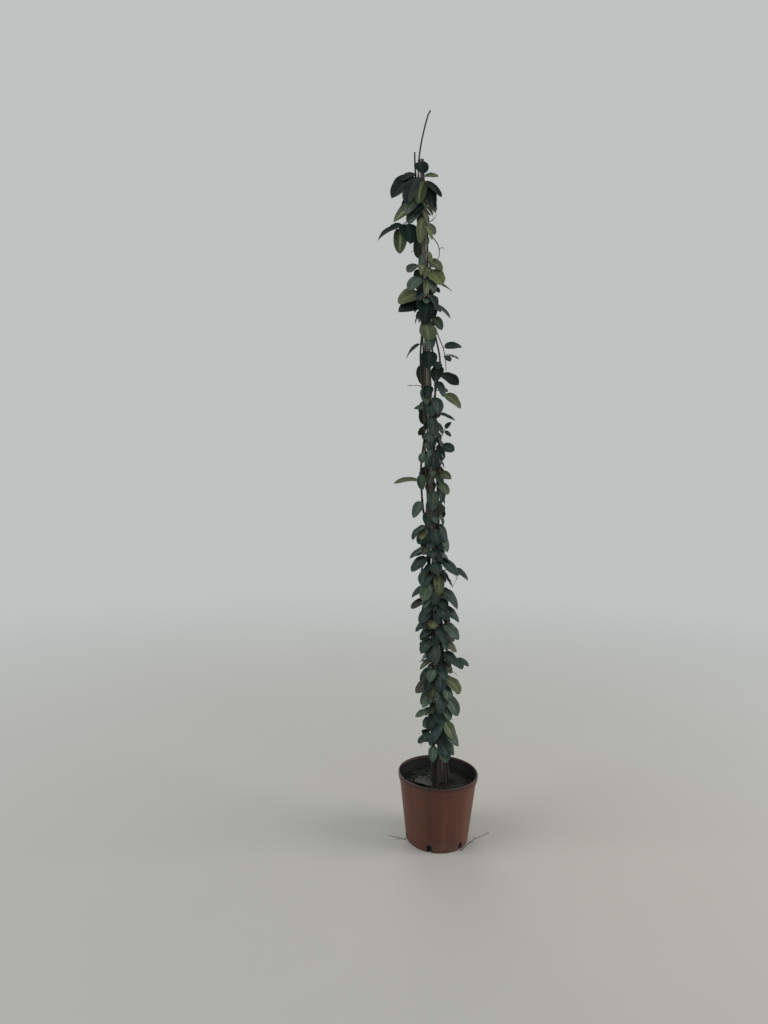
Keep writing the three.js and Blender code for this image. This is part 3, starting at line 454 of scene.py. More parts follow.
def smooth_path(points, step):
    """A smooth curve through the points, with a point about every step."""
    points = [Vector(p) for p in points]
    ends = [2 * points[0] - points[1], *points, 2 * points[-1] - points[-2]]
    path = []
    for a, b, c, d in zip(ends, ends[1:], ends[2:], ends[3:]):
        count = max(2, round((c - b).length / step))
        for i in range(count):
            t = i / count
            path.append(0.5 * (2 * b + (c - a) * t + (2 * a - 5 * b + 4 * c - d) * t**2
                               + (3 * b - a - 3 * c + d) * t**3))
    return np.array([*path, points[-1]])


def wander(path, fineness):
    """Small even swerves for the points of a path, the same in every run."""
    swerves = []
    for point in path:
        place = Vector(point) * fineness
        swerves.append([noise.noise(place + Vector(offset)) for offset in WANDER_OFFSETS])
    return np.array(swerves)


# Paths of cane, stems and shoots

def cane_centre(height):
    t = (height - SOIL["top"]) / (CANE["top"] - SOIL["top"])
    return Vector((mix(CANE["from_x"], CANE["to_x"], t), CANE["back"] * t, height))


def cane_radius(height):
    t = (height - CANE["foot"]) / (CANE["top"] - CANE["foot"])
    return mix(CANE["foot_radius"], CANE["top_radius"], t)


def stem_azimuth(stem, height):
    climb = (height - SOIL["top"]) / (CANE["top"] - SOIL["top"])
    sway = TWINE["sway"] * math.sin(TURN * height / TWINE["sway_length"] + stem["phase"])
    return stem["start"] + TWINE["turn"] * climb + sway


def stem_centre(stem, height):
    bend = max(height, SOIL["top"] + TWINE["straight"])
    azimuth = stem_azimuth(stem, bend)
    wave = math.sin(TURN * bend / TWINE["wave_length"] + 2 * stem["phase"])
    reach = TWINE["radius"] + TWINE["wave"] * wave
    reach += TWINE["spread"] * math.exp(-(bend - SOIL["top"]) / TWINE["spread_height"])
    for bow in BOWS:
        near = bell(turned(azimuth - bow["azimuth"]), BOW_SPREAD["degrees"])
        reach += bow["reach"] * near * bell(bend - bow["height"], BOW_SPREAD["height"])
    centre = cane_centre(bend) + polar(azimuth, reach)
    if stem.get("whip") and bend > WHIP["from"]:
        free = (bend - WHIP["from"]) / (stem["top"] - WHIP["from"])
        centre.x += WHIP["swing"] * free ** WHIP["curve"]
    centre.z = height
    return centre


def stem_radius(stem, height):
    t = max(height - SOIL["top"], 0) / (stem["top"] - SOIL["top"])
    return mix(STEM_RADIUS["foot"], WHIP["tip_radius"] if stem.get("whip") else STEM_RADIUS["top"], t)


def stem_facing(azimuth, height):
    reaching = [stem for stem in STEMS if stem["top"] - JOINT["below_top"] >= height]
    return min(reaching, key=lambda stem: abs(turned(stem_azimuth(stem, height) - azimuth)))


def shoot_centre(shoot, stem, t):
    start = stem_centre(stem, shoot["height"])
    centre = start.lerp(cane_centre(shoot["end"]) + polar(shoot["azimuth"], shoot["reach"]), t)
    arc = 4 * t * (1 - t)
    centre.x += shoot.get("bow", 0) * arc
    centre.z += shoot["sag"] * arc
    return centre


# Which leaves grew

def face_of(azimuth):
    apart = turned(azimuth - LIGHT_FROM["azimuth"])
    return azimuth - LIGHT_FROM["pull"] * apart * math.cos(math.radians(apart / 2))


def leaf_of(wanted, root, tip):
    facing = {"lift": LIGHT_FROM["lift"], "bend": LEAF_BEND, "face": face_of(wanted["azimuth"])}
    return {"kind": "listed", **facing, **wanted, "root": root, "tip": tip}


def leaf_on_stem(stem, wanted, attempt):
    shrink, turn, drop = attempt
    root = stem_centre(stem, wanted["height"])
    tip = cane_centre(wanted["height"]) + polar(wanted["azimuth"] + turn, wanted["reach"])
    tip.z -= wanted["drop"] + drop
    return leaf_of(wanted, root, root.lerp(tip, shrink))


def leaf_on_shoot(shoot, stem, wanted, attempt):
    shrink, turn, drop = attempt
    rise = math.radians(wanted["rise"] - drop)
    length = wanted["length"] * shrink
    root = shoot_centre(shoot, stem, wanted["along"])
    tip = root + polar(wanted["azimuth"] + turn, length * math.cos(rise))
    tip.z += length * math.sin(rise)
    return leaf_of(wanted, root, tip)


def corners_of(node):
    """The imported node's vertices, to look up where a leaf's tip lies."""
    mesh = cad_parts[node].data
    tree = kdtree.KDTree(len(mesh.vertices))
    for i, vertex in enumerate(mesh.vertices):
        tree.insert(vertex.co / MM, i)
    tree.balance()
    return tree


def grown(tree, tried):
    """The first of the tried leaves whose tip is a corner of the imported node, or None."""
    for leaf in tried:
        if tree.find(leaf["tip"])[2] < SAME_POINT:
            return leaf
    return None


def is_bare(azimuth, height):
    in_stretch = BARE_SIDE["from"] < height < BARE_SIDE["to"]
    return in_stretch and abs(turned(azimuth - BARE_SIDE["azimuth"])) < BARE_SIDE["within"]


def joint_leaves(stem, number):
    """The pairs of leaves at a stem's joints, some of them lost."""
    random = draws(SEEDS["joints"] + SEEDS["joint_step"] * number)
    tones = draws(SEEDS["joint_tones"] + SEEDS["joint_tone_step"] * number)
    wanted = []
    height = first = JOINT["first"] + JOINT["stagger"] * number
    joint = 0
    while height < min(stem["top"], CANE["top"]) - JOINT["bare_top"]:
        at = height + JOINT["jitter"] * (next(random) - 0.5)
        facing = stem_azimuth(stem, at)
        column_reach, share = column_at(at)
        spread = PAIR["spreads"][joint % 2]
        for hand in (1, -1):
            keep, turn, far, long, wide, tilt = drawn(random, 6)
            reach = column_reach * mix(PAIR["least_reach"], 1, far)
            length = mix(GROWN["shortest"], GROWN["longest"], long)
            run = max(reach - TWINE["radius"], 0) + spread * PAIR["side_run"]
            azimuth = facing + hand * (spread + mix(-PAIR["jitter"], PAIR["jitter"], turn))
            if keep < share and not is_bare(azimuth, at):
                wanted.append({
                    "height": at,
                    "azimuth": azimuth,
                    "reach": min(reach, length * PAIR["most_run"] + TWINE["radius"]),
                    "drop": math.sqrt(max(length**2 - run**2, (length * PAIR["least_drop"]) ** 2)),
                    "width": mix(GROWN["narrowest"], GROWN["widest"], wide),
                    "face": face_of(azimuth) + mix(-PAIR["face_jitter"], PAIR["face_jitter"], tilt),
                    "lift": mix(PAIR["least_lift"], PAIR["most_lift"], far),
                    "tone": drawn_tone(tones),
                    "kind": "joint",
                })
        joint += 1
        height = first + joint * JOINT["spacing"]
    return wanted


def curtain_leaves(curtain, number):
    """Leaves that hang over the front or the back of the stems."""
    random = draws(SEEDS["curtains"] + SEEDS["curtain_step"] * number)
    tones = draws(SEEDS["curtain_tones"] + SEEDS["curtain_tone_step"] * number)
    wanted = []
    for height in range(curtain["from"], curtain["to"], curtain["spacing"]):
        swing, far, low, wide = drawn(random, 4)
        wanted.append({
            "height": height,
            "azimuth": curtain["azimuth"] + CURTAIN_LEAF["swing"] * (2 * swing - 1),
            "reach": CURTAIN_LEAF["reach"] + CURTAIN_LEAF["reach_jitter"] * (2 * far - 1),
            "drop": CURTAIN_LEAF["drop"] + CURTAIN_LEAF["drop_jitter"] * (2 * low - 1),
            "width": mix(GROWN["narrowest"], GROWN["widest"], wide),
            "tone": drawn_tone(tones),
            "kind": "curtain",
        })
    return wanted


def drawn_tone(tones):
    return TONE_DRAWS[int(next(tones) * len(TONE_DRAWS))]


def all_leaves():
    """Each stem's name with the leaves that grew on it and on its shoots."""
    trees = {stem["name"]: corners_of(stem["name"]) for stem in STEMS}
    leaves = {stem["name"]: [] for stem in STEMS}

    def keep(stem, tried):
        leaf = grown(trees[stem["name"]], tried)
        if leaf:
            leaves[stem["name"]].append(leaf)

    for shoot in SHOOTS:
        stem = stem_facing(shoot["azimuth"], shoot["height"])
        for wanted in shoot["leaves"]:
            keep(stem, (leaf_on_shoot(shoot, stem, wanted, attempt) for attempt in ATTEMPTS))
    listed = list(STANDING_LEAVES)
    for number, curtain in enumerate(CURTAINS):
        listed += curtain_leaves(curtain, number)
    for wanted in listed:
        stem = stem_facing(wanted["azimuth"], wanted["height"])
        keep(stem, (leaf_on_stem(stem, wanted, attempt) for attempt in ATTEMPTS))
    for number, stem in enumerate(STEMS):
        for wanted in joint_leaves(stem, number):
            keep(stem, (leaf_on_stem(stem, wanted, attempt) for attempt in ATTEMPTS))
    return leaves


# The shape of a leaf

# A narrow blade runs out into a tail, and one broader than the greater of "broad" is a plain oval.
BLADE = {
    "thick": 0.45, "edge": 0.28, "from": 0.10, "fuller": 1.03, "veins": 6, "vein_slope": 0.20, "quilt": 0.2,
    "body": 0.965, "broad": (0.7, 0.92), "tail_from": 0.6, "tail_to": 0.92, "tail_thins": 0.85,
    "broad_loses": 0.8, "groove": 0.07, "groove_fades": 0.6, "keel": 0.42, "end": 0.006,
    "crowding": 0.06, "curl_from": 0.3, "twist_from": 0.35, "sway": 0.6, "other_wave": -0.8,
}
STALK = {
    "from": 0.02, "past": 0.09, "rings": 8, "sides": 8, "radii": (1.3, 0.95, 0.85, 0.3), "neck": 0.05,
    "full_from": 45, "sunk": 0.35, "colour": (0.3, 0.5, 0, 0),
}
LARGE = {"rows": 30, "columns": 13}
SMALL = {"rows": 18, "columns": 9}
COARSE = {"rows": 9, "columns": 5}
# The plain tubes that stand for stems and cane where a blade is tried.
ROUGH = {"stem_step": 10.0, "stem_sides": 8, "cane_step": 60.0, "cane_sides": 12}

# What sets one leaf apart from another, each drawn between two values: its outline, then how its margin
# waves, how it twists, curls and swings aside, how it folds along the rib, and its shade.
FORM = {
    "base": (0.42, 0.58), "tip": (0.50, 0.76), "tail": (0.3, 1.5), "waves": (1.2, 2.8), "phase": (0, TURN),
    "wave": (0.03, 0.14), "twist": (-0.6, 0.6), "curl": (-0.03, 0.12), "sweep": (-0.08, 0.08),
    "lean": (-0.07, 0.07), "cup": (0.15, 0.7), "fold": (0.5, 1.7), "shade": (0.6, 1.35), "warm": (0.9, 1.1),
    "roll": (-1, 1), "short": (0, 1),
}
CALMS = (1.0, 0.7, 0.45, 0.2, 0.0)

# By kind of leaf: the most that it rolls about its rib, in degrees, the most of its length that it lacks,
# how much of its wave it keeps, and how far its shade strays from its tone.
KINDS = {
    "listed": {"roll": 8, "lack": 0.0, "wave": 0.5, "stray": 0.4},
    "joint": {"roll": 42, "lack": 0.14, "wave": 1.0, "stray": 1.0},
    "curtain": {"roll": 50, "lack": 0.34, "wave": 1.0, "stray": 1.0},
    "inner": {"roll": 35, "lack": 0.0, "wave": 0.8, "stray": 1.0},
    "young": {"roll": 30, "lack": 0.0, "wave": 1.0, "stray": 0.6},
}


def leaf_form(random):
    return {name: mix(low, high, next(random)) for name, (low, high) in FORM.items()}


def sheet_faces(rows, columns):
    """Quads between the vertices of a grid, given row by row."""
    faces = []
    for r in range(rows - 1):
        for c in range(columns - 1):
            here = r * columns + c
            faces.append((here, here + 1, here + columns + 1, here + columns))
    return faces


def blade_faces(rows, columns):
    """Faces of a closed blade whose vertices are the grid of its top and then that of its underside."""
    under = rows * columns
    faces = sheet_faces(rows, columns)
    faces += [tuple(i + under for i in reversed(face)) for face in faces]
    margin = [r * columns for r in range(rows)]
    margin += [(rows - 1) * columns + c for c in range(1, columns)]
    margin += [r * columns + columns - 1 for r in range(rows - 2, -1, -1)]
    margin += list(range(columns - 2, 0, -1))
    for a, b in zip(margin, margin[1:] + margin[:1]):
        faces.append((a, b, b + under, a + under))
    return faces


def leaf_axes(leaf, form, calm):
    """The length of the leaf's chord, and its directions along, across and out of its upper face."""
    kind = KINDS[leaf["kind"]]
    chord = (leaf["tip"] - leaf["root"]) * (1 - kind["lack"] * form["short"])
    along = chord.normalized()
    face, lift = math.radians(leaf["face"]), math.radians(leaf["lift"])
    level = math.cos(lift)
    facing = Vector((level * math.cos(face), level * math.sin(face), math.sin(lift)))
    normal = (facing - along * facing.dot(along)).normalized()
    roll = math.radians(calm * form["roll"] * kind["roll"])
    normal = normal * math.cos(roll) + along.cross(normal) * math.sin(roll)
    return chord.length, along, along.cross(normal), normal


def rib_at(leaf, axes, shares):
    """Points along the leaf's bent rib, and the upper face's normal at each."""
    span, along, side, normal = axes
    bend = math.radians(leaf["bend"])
    radius = span / (2 * math.sin(bend / 2))
    angles = bend * (shares - 0.5)
    rise = radius * (np.cos(angles) - math.cos(bend / 2))
    run = span / 2 + radius * np.sin(angles)
    points = np.array(leaf["root"]) + run[:, None] * np.array(along) + rise[:, None] * np.array(normal)
    normals = np.cos(angles)[:, None] * np.array(normal) + np.sin(angles)[:, None] * np.array(along)
    return points, normals


def outline(t, form, width):
    """Share of the greatest half width along the blade: an oval, with a tail if it is narrow."""
    body = np.minimum(t / BLADE["body"], 1)
    broad = float(np.interp(width, BLADE["broad"], (0, 1)))
    base, tip = mix(form["base"], 0.5, broad), mix(form["tip"], 0.5, broad)
    peak = base / (base + tip)
    oval = (body / peak) ** base * ((1 - body) / (1 - peak)) ** tip
    near = np.clip((t - BLADE["tail_from"]) / (BLADE["tail_to"] - BLADE["tail_from"]), 0, 1)
    tail = (1 - BLADE["broad_loses"] * broad) * form["tail"] * (1 - t) ** BLADE["tail_thins"]
    tail = tail * near**2 * (3 - 2 * near)
    return np.sqrt(oval**2 + tail**2)


def blade_sheet(leaf, form, grid, calm):
    """The blade's middle surface, the normal of each row, and where its rows and columns lie."""
    axes = leaf_axes(leaf, form, calm)
    span, _, side, _ = axes
    bend = math.radians(leaf["bend"])
    length = span * bend / 2 / math.sin(bend / 2)
    half = length * (1 - STALK_SHARE) * leaf["width"] / 2 * BLADE["fuller"]
    even = np.linspace(0, 1, grid["rows"])
    t = BLADE["end"] + (1 - 2 * BLADE["end"]) * (even - BLADE["crowding"] * np.sin(TURN * even))
    u = np.linspace(-1, 1, grid["columns"])
    far = np.abs(u)[None, :]
    x = (half * outline(t, form, leaf["width"]))[:, None] * (u + calm * form["lean"] * (1 - np.abs(u)))
    middle = np.sin(np.pi * t)[:, None]
    past = np.clip((t - BLADE["curl_from"]) / (1 - BLADE["curl_from"]), 0, 1)[:, None]
    fold = math.tan(math.radians(LEAF_FOLD * mix(1, form["fold"], calm)))
    hands = np.where(u > 0, 1, BLADE["other_wave"])[None, :]
    ripple = np.sin(TURN * form["waves"] * t + form["phase"])[:, None] * hands
    lift = fold * np.abs(x) * (1 - form["cup"] * far)
    lift += calm * form["wave"] * KINDS[leaf["kind"]]["wave"] * half * ripple * far**2 * middle
    lift += calm * form["twist"] * x * (t[:, None] - BLADE["twist_from"])
    lift -= calm * form["curl"] * length * past**2
    shift = calm * form["sweep"] * length * (BLADE["sway"] * middle + past**3)
    points, normals = rib_at(leaf, axes, mix(BLADE["from"], 1, t))
    sheet = points[:, None, :] + (x + shift)[:, :, None] * np.array(side)
    sheet = sheet + lift[:, :, None] * normals[:, None, :]
    return sheet, normals, x / half, u, t


def add_blade(parts, leaf, form, grid, calm):
    """The blade with its thickness, its rib and its quilted surface, and the stalk that carries it."""
    sheet, normals, across, u, t = blade_sheet(leaf, form, grid, calm)
    far = np.abs(u)[None, :]
    thick = mix(BLADE["edge"], BLADE["thick"], 1 - far**3) / 2
    veins = (t[:, None] - BLADE["vein_slope"] * far) * BLADE["veins"]
    quilt = BLADE["quilt"] * np.cos(TURN * veins) * 4 * far * (1 - far) * np.sin(np.pi * t)[:, None]
    groove = np.exp(-((across / BLADE["groove"]) ** 2)) * (1 - BLADE["groove_fades"] * t[:, None])
    top = sheet + (thick - quilt - BLADE["keel"] / 2 * groove)[:, :, None] * normals[:, None, :]
    under = sheet - (thick + quilt + BLADE["keel"] * groove)[:, :, None] * normals[:, None, :]
    grid_u, grid_t = np.broadcast_arrays(u[None, :], t[:, None])
    places = []
    for below in (0.0, 1.0):
        places.append(np.stack([grid_u, grid_t, np.full(grid_u.shape, below)], -1).reshape(-1, 3))
    vertices = np.concatenate([top.reshape(-1, 3), under.reshape(-1, 3)])
    parts.add(vertices, blade_faces(**grid), 0, leaf_colour(leaf, form), np.concatenate(places))
    add_stalk(parts, leaf, leaf_axes(leaf, form, calm))


def leaf_colour(leaf, form):
    """The leaf's tone with its own shade and warmth, and how pale its stripe is."""
    (red, green, blue), stripe = TONES[leaf["tone"]]
    stray = KINDS[leaf["kind"]]["stray"]
    shade, warm = mix(1, form["shade"], stray), mix(1, form["warm"], stray)
    return red * shade * warm, green * shade, blue * shade / warm, stripe


def add_stalk(parts, leaf, axes):
    end = STALK_SHARE + STALK["past"]
    shares = np.linspace(STALK["from"], end, STALK["rings"])
    points, _ = rib_at(leaf, axes, shares)
    points -= STALK["sunk"] * np.array(axes[3])
    thin = min(1.0, axes[0] / STALK["full_from"])
    radii = thin * np.interp(shares, [0, STALK["neck"], STALK_SHARE, end], STALK["radii"])
    parts.add_rings(rings_of(points, radii, STALK["sides"]), 1, STALK["colour"])


class Space:
    """Stems, cane and blades that are already there, so that no new blade cuts through them."""

    def __init__(self):
        self.tubes = {}
        for stem in STEMS:
            centres, radii = stem_path(stem, ROUGH["stem_step"])
            self.tubes[stem["name"]] = tube_tree(centres, radii, ROUGH["stem_sides"])
        heights = np.arange(SOIL["top"], CANE["top"], ROUGH["cane_step"])
        centres = np.array([cane_centre(z) for z in heights])
        radii = [cane_radius(z) + CANE["swell"] for z in heights]
        self.tubes["cane"] = tube_tree(centres, radii, ROUGH["cane_sides"])
        self.blades = []
        self.faces = sheet_faces(**COARSE)

    def sheet_of(self, leaf, form, calm):
        return blade_sheet(leaf, form, COARSE, calm)[0].reshape(-1, 3)

    def is_clear(self, sheet, own):
        low, high = sheet.min(0), sheet.max(0)
        tree = BVHTree.FromPolygons(sheet.tolist(), self.faces)
        for name, tube in self.tubes.items():
            if name != own and tree.overlap(tube):
                return False
        for other_low, other_high, other in self.blades:
            if (low < other_high).all() and (other_low < high).all() and tree.overlap(other):
                return False
        return True

    def take(self, sheet):
        self.blades.append((sheet.min(0), sheet.max(0), BVHTree.FromPolygons(sheet.tolist(), self.faces)))

    def calmed(self, leaf, form, own):
        """The liveliest form of a leaf that cuts nothing, or its plain form, and how calm it is."""
        for calm in CALMS:
            for roll in (form["roll"], -form["roll"]):
                trial = {**form, "roll": roll}
                sheet = self.sheet_of(leaf, trial, calm)
                if self.is_clear(sheet, own):
                    self.take(sheet)
                    return trial, calm
        self.take(sheet)
        return trial, calm

    def turned_clear(self, stem, wanted, form):
        """The first turn of a small leaf that is clear of all else, or None."""
        for turn in INNER["turns"]:
            leaf = leaf_on_stem(stem, wanted, (1, turn, 0))
            sheet = self.sheet_of(leaf, form, INNER["calm"])
            if self.is_clear(sheet, stem["name"]):
                self.take(sheet)
                return leaf
        return None


def tube_tree(centres, radii, sides):
    rings = rings_of(centres, radii, sides)
    return BVHTree.FromPolygons(rings.reshape(-1, 3).tolist(), ring_faces(len(rings), sides))


# Small leaves close to the cane, in the heights where the foliage is dense: from, to and spacing.
INNER_BANDS = [(230, 716, 15), (806, 990, 17), (1192, 1304, 20), (1440, 1500, 16)]
INNER = {
    "round": 7, "swing": 22, "reach": (21, 36), "drop": (14, 36), "width": (0.56, 0.80), "face": 30,
    "lift": (15, 60), "calm": 0.7, "turns": (0, 12, -12, 24, -24),
}


# Young leaves, still narrow, that hang in front of the bare cane below the top leaves.
YOUNG_LEAVES = [
    leaf_out(1446, -48, 27, 30, 0.42, "olive"),
    leaf_out(1438, -14, 25, 26, 0.50, "pale"),
    leaf_out(1428, -74, 22, 46, 0.30, "pale"),
    leaf_out(1404, -60, 24, 52, 0.26, "pale"),
    leaf_out(1398, -30, 26, 26, 0.44, "brown"),
    leaf_out(1376, -104, 22, 40, 0.28, "olive"),
    leaf_out(1362, -70, 20, 24, 0.40, "pale"),
    leaf_out(1330, -50, 24, 34, 0.32, "pale"),
    leaf_out(1322, -118, 22, 30, 0.36, "mid"),
    leaf_out(1284, -84, 24, 36, 0.30, "pale"),
]


def inner_leaves():
    """The young leaves, and small leaves in rounds close to the cane."""
    random = draws(SEEDS["inner"])
    wanted = [{"kind": "young", **leaf} for leaf in YOUNG_LEAVES]
    for low, high, spacing in INNER_BANDS:
        for row, height in enumerate(range(low, high, spacing)):
            for k in range(INNER["round"]):
                swing, far, down, wide, tilt, up, at = drawn(random, 7)
                tone = drawn_tone(random)
                azimuth = 360 / INNER["round"] * (k + 0.5 * (row % 2)) + INNER["swing"] * (2 * swing - 1)
                if is_bare(azimuth, height):
                    continue
                wanted.append({
                    "height": height + spacing * (at - 0.5),
                    "azimuth": azimuth,
                    "reach": mix(*INNER["reach"], far),
                    "drop": mix(*INNER["drop"], down),
                    "width": mix(*INNER["width"], wide),
                    "face": face_of(azimuth) + INNER["face"] * (2 * tilt - 1),
                    "lift": mix(*INNER["lift"], up),
                    "tone": tone,
                    "kind": "inner",
                })
    return wanted


# Materials

class Look:
    """A node material, coloured in layers, with short ways to make and join its nodes."""

    def __init__(self, name, specular, roughness=0.5):
        self.material = bpy.data.materials.new(name)
        self.material.use_nodes = True
        self.tree = self.material.node_tree
        self.shader = self.tree.nodes["Principled BSDF"]
        self.shader.inputs["Specular IOR Level"].default_value = specular
        self.shader.inputs["Roughness"].default_value = roughness
        self.coords = self.new("TexCoord").outputs["Object"]
        self.colour = None

    def new(self, kind, **settings):
        node = self.tree.nodes.new("ShaderNode" + kind)
        for key, value in settings.items():
            setattr(node, key, value)
        return node

    def put(self, value, socket):
        """Links another node's output, or sets a number, or the red, green and blue of a colour."""
        if isinstance(value, bpy.types.NodeSocket):
            self.tree.links.new(value, socket)
        elif socket.type == "RGBA":
            socket.default_value = (*value, 1.0)
        else:
            socket.default_value = value

    def known(self, name):
        """What each vertex knows of itself under this name."""
        return self.new("Attribute", attribute_name=name).outputs

    def parts_of(self, vector):
        node = self.new("SeparateXYZ")
        self.put(vector, node.inputs[0])
        return node.outputs

    def maths(self, operation, a, b=0.0, clamp=False):
        node = self.new("Math", operation=operation, use_clamp=clamp)
        self.put(a, node.inputs[0])
        self.put(b, node.inputs[1])
        return node.outputs[0]

    def times(self, a, b):
        return self.maths("MULTIPLY", a, b)

    def noise(self, scale, detail=4.0, rough=0.55, coords=None):
        node = self.new("TexNoise")
        self.put(coords or self.coords, node.inputs["Vector"])
        node.inputs["Scale"].default_value = scale
        node.inputs["Detail"].default_value = detail
        node.inputs["Roughness"].default_value = rough
        return node.outputs["Fac"]

    def cells(self, scale, feature="F1", coords=None):
        node = self.new("TexVoronoi", feature=feature)
        self.put(coords or self.coords, node.inputs["Vector"])
        node.inputs["Scale"].default_value = scale
        return node.outputs["Distance"]

    def stretched(self, x, y, z):
        node = self.new("Mapping")
        self.put(self.coords, node.inputs["Vector"])
        node.inputs["Scale"].default_value = (x, y, z)
        return node.outputs[0]

    def band(self, value, low, high):
        """0 below low and 1 above high, or the reverse where low is the greater."""
        node = self.new("MapRange", interpolation_type="SMOOTHSTEP")
        self.put(value, node.inputs["Value"])
        node.inputs["From Min"].default_value = low
        node.inputs["From Max"].default_value = high
        return node.outputs["Result"]

    def side_veins(self, across, along):
        """1 on the side veins, which run from the rib towards the margin and the tip."""
        slope = self.times(across, BLADE["vein_slope"])
        phase = self.times(self.maths("SUBTRACT", along, slope), float(BLADE["veins"]))
        apart = self.maths("ABSOLUTE", self.maths("SUBTRACT", self.maths("FRACT", phase), 0.5))
        return self.band(apart, 0.43, 0.5)

    def blend(self, factor, a, b, kind="MIX"):
        node = self.new("Mix", data_type="RGBA", blend_type=kind)
        self.put(factor, node.inputs[0])
        self.put(a, node.inputs[6])
        self.put(b, node.inputs[7])
        return node.outputs[2]

    def lay(self, share, amount, colour, kind="MIX"):
        """Lays an amount of a colour over what is there, where the share is high."""
        self.colour = self.blend(self.times(share, amount), self.colour, colour, kind)

    def tint(self, share, amount, colour):
        self.lay(share, amount, colour, "MULTIPLY")

    def relief(self, *layers):
        """Bumps from (height, distance in mm, strength), laid on one another."""
        below = None
        for height, distance, strength in layers:
            node = self.new("Bump")
            node.inputs["Strength"].default_value = strength
            node.inputs["Distance"].default_value = distance * MM
            self.put(height, node.inputs["Height"])
            if below is not None:
                self.put(below, node.inputs["Normal"])
            below = node.outputs[0]
        self.put(below, self.shader.inputs["Normal"])

    def finish(self, *roughness):
        """The material, with its roughness as the sum of the values, if any are given."""
        self.put(self.colour, self.shader.inputs["Base Color"])
        if roughness:
            total = roughness[0]
            for value in roughness[1:]:
                total = self.maths("ADD", total, value, clamp=True)
            self.put(total, self.shader.inputs["Roughness"])
        return self.material


def leaf_material():
    """Leathery blades, nearly black-green: paler ribs and side veins, blotches and a waxy sheen."""
    look = Look("leaf", 0.10)
    side, along, under = look.parts_of(look.known("leaf_place")["Vector"])
    own = look.known("leaf_colour")
    across = look.maths("ABSOLUTE", side)
    from_rib = look.maths("DIVIDE", across, look.maths("SUBTRACT", 1.15, along))
    ragged = look.maths("ADD", from_rib, look.times(look.noise(180, 3), 0.25))
    vein = look.times(look.side_veins(across, along), look.band(across, 0.96, 0.7))
    net = look.band(look.cells(620, "DISTANCE_TO_EDGE"), 0.0, 0.12)
    blotch = look.noise(60, 5)
    mottle = look.noise(300, 3)
    look.colour = own["Color"]
    look.tint(look.band(blotch, 0.35, 0.7), 0.6, (0.5, 0.58, 0.56))
    look.tint(look.band(mottle, 0.45, 0.75), 0.35, (1.6, 1.55, 1.35))
    look.tint(vein, 0.22, (1.7, 1.7, 1.5))
    look.tint(look.band(from_rib, 0.12, 0.03), 0.65, (2.5, 2.3, 1.8))
    look.lay(look.band(ragged, 0.62, 0.2), own["Alpha"], (0.205, 0.235, 0.130))
    look.lay(under, 0.5, (0.042, 0.054, 0.034))
    look.tint(look.band(across, 0.9, 1.0), 0.4, (2.2, 2.0, 1.7))
    look.lay(look.band(look.cells(150), 0.12, 0.05), look.band(blotch, 0.52, 0.66), (0.055, 0.040, 0.024))
    look.lay(look.band(look.noise(420, 6, 0.7), 0.5, 0.8), 0.1, (0.11, 0.115, 0.10))
    look.relief((vein, 0.2, 0.35), (net, 0.12, 0.2), (mottle, 0.25, 0.4))
    return look.finish(0.3, look.times(look.noise(240, 4), 0.3), look.times(under, 0.2))


def bark_material():
    """Thin woody stems, nearly black: ridged below, smoother above, with a few paler pores."""
    look = Look("stem_bark", 0.25, 0.7)
    climb = look.band(look.parts_of(look.coords)["Z"], 0.3, 1.45)
    grain = look.noise(1.0, 5, 0.6, look.stretched(700, 700, 90))
    pores = look.band(look.cells(1.0, "F1", look.stretched(420, 420, 210)), 0.16, 0.08)
    old = look.blend(grain, (0.017, 0.016, 0.013), (0.050, 0.042, 0.034))
    young = look.blend(grain, (0.016, 0.015, 0.012), (0.042, 0.037, 0.029))
    look.colour = look.blend(climb, old, young)
    look.lay(look.band(look.noise(38, 4), 0.5, 0.7), 0.5, (0.030, 0.036, 0.024))
    look.lay(pores, 0.5, (0.075, 0.062, 0.050))
    look.relief((grain, 0.35, 0.6), (pores, 0.3, 0.4))
    return look.finish()


def cane_material():
    """Old bamboo: fine fibres, weathered grey-beige, darker at the joints and towards the cut top, with
    painted shade down its bore.
    """
    look = Look("bamboo", 0.3)
    height = look.parts_of(look.coords)["Z"]
    fibres = look.noise(1.0, 6, 0.65, look.stretched(1500, 1500, 26))
    streaks = look.noise(1.0, 3, 0.5, look.stretched(260, 260, 6))
    patch = look.noise(24, 5, 0.6)
    look.colour = look.blend(fibres, (0.135, 0.112, 0.094), (0.270, 0.235, 0.200))
    look.lay(look.band(streaks, 0.5, 0.75), 0.6, (0.165, 0.155, 0.135))
    look.lay(look.band(patch, 0.5, 0.7), 0.55, (0.075, 0.062, 0.052))
    # Darker at the joints, a little over the cut rim, and painted shade deepening down the bore.
    look.lay(look.known("leaf_colour")["Alpha"], 1.0, (0.040, 0.032, 0.026))
    look.lay(look.band(height, 1.47, 1.53), 0.8, (0.048, 0.050, 0.048))
    look.lay(look.band(height, 0.34, 0.13), 0.75, (0.036, 0.032, 0.028))
    look.relief((fibres, 0.2, 0.5), (patch, 0.3, 0.2))
    return look.finish(0.45, look.times(fibres, 0.25))


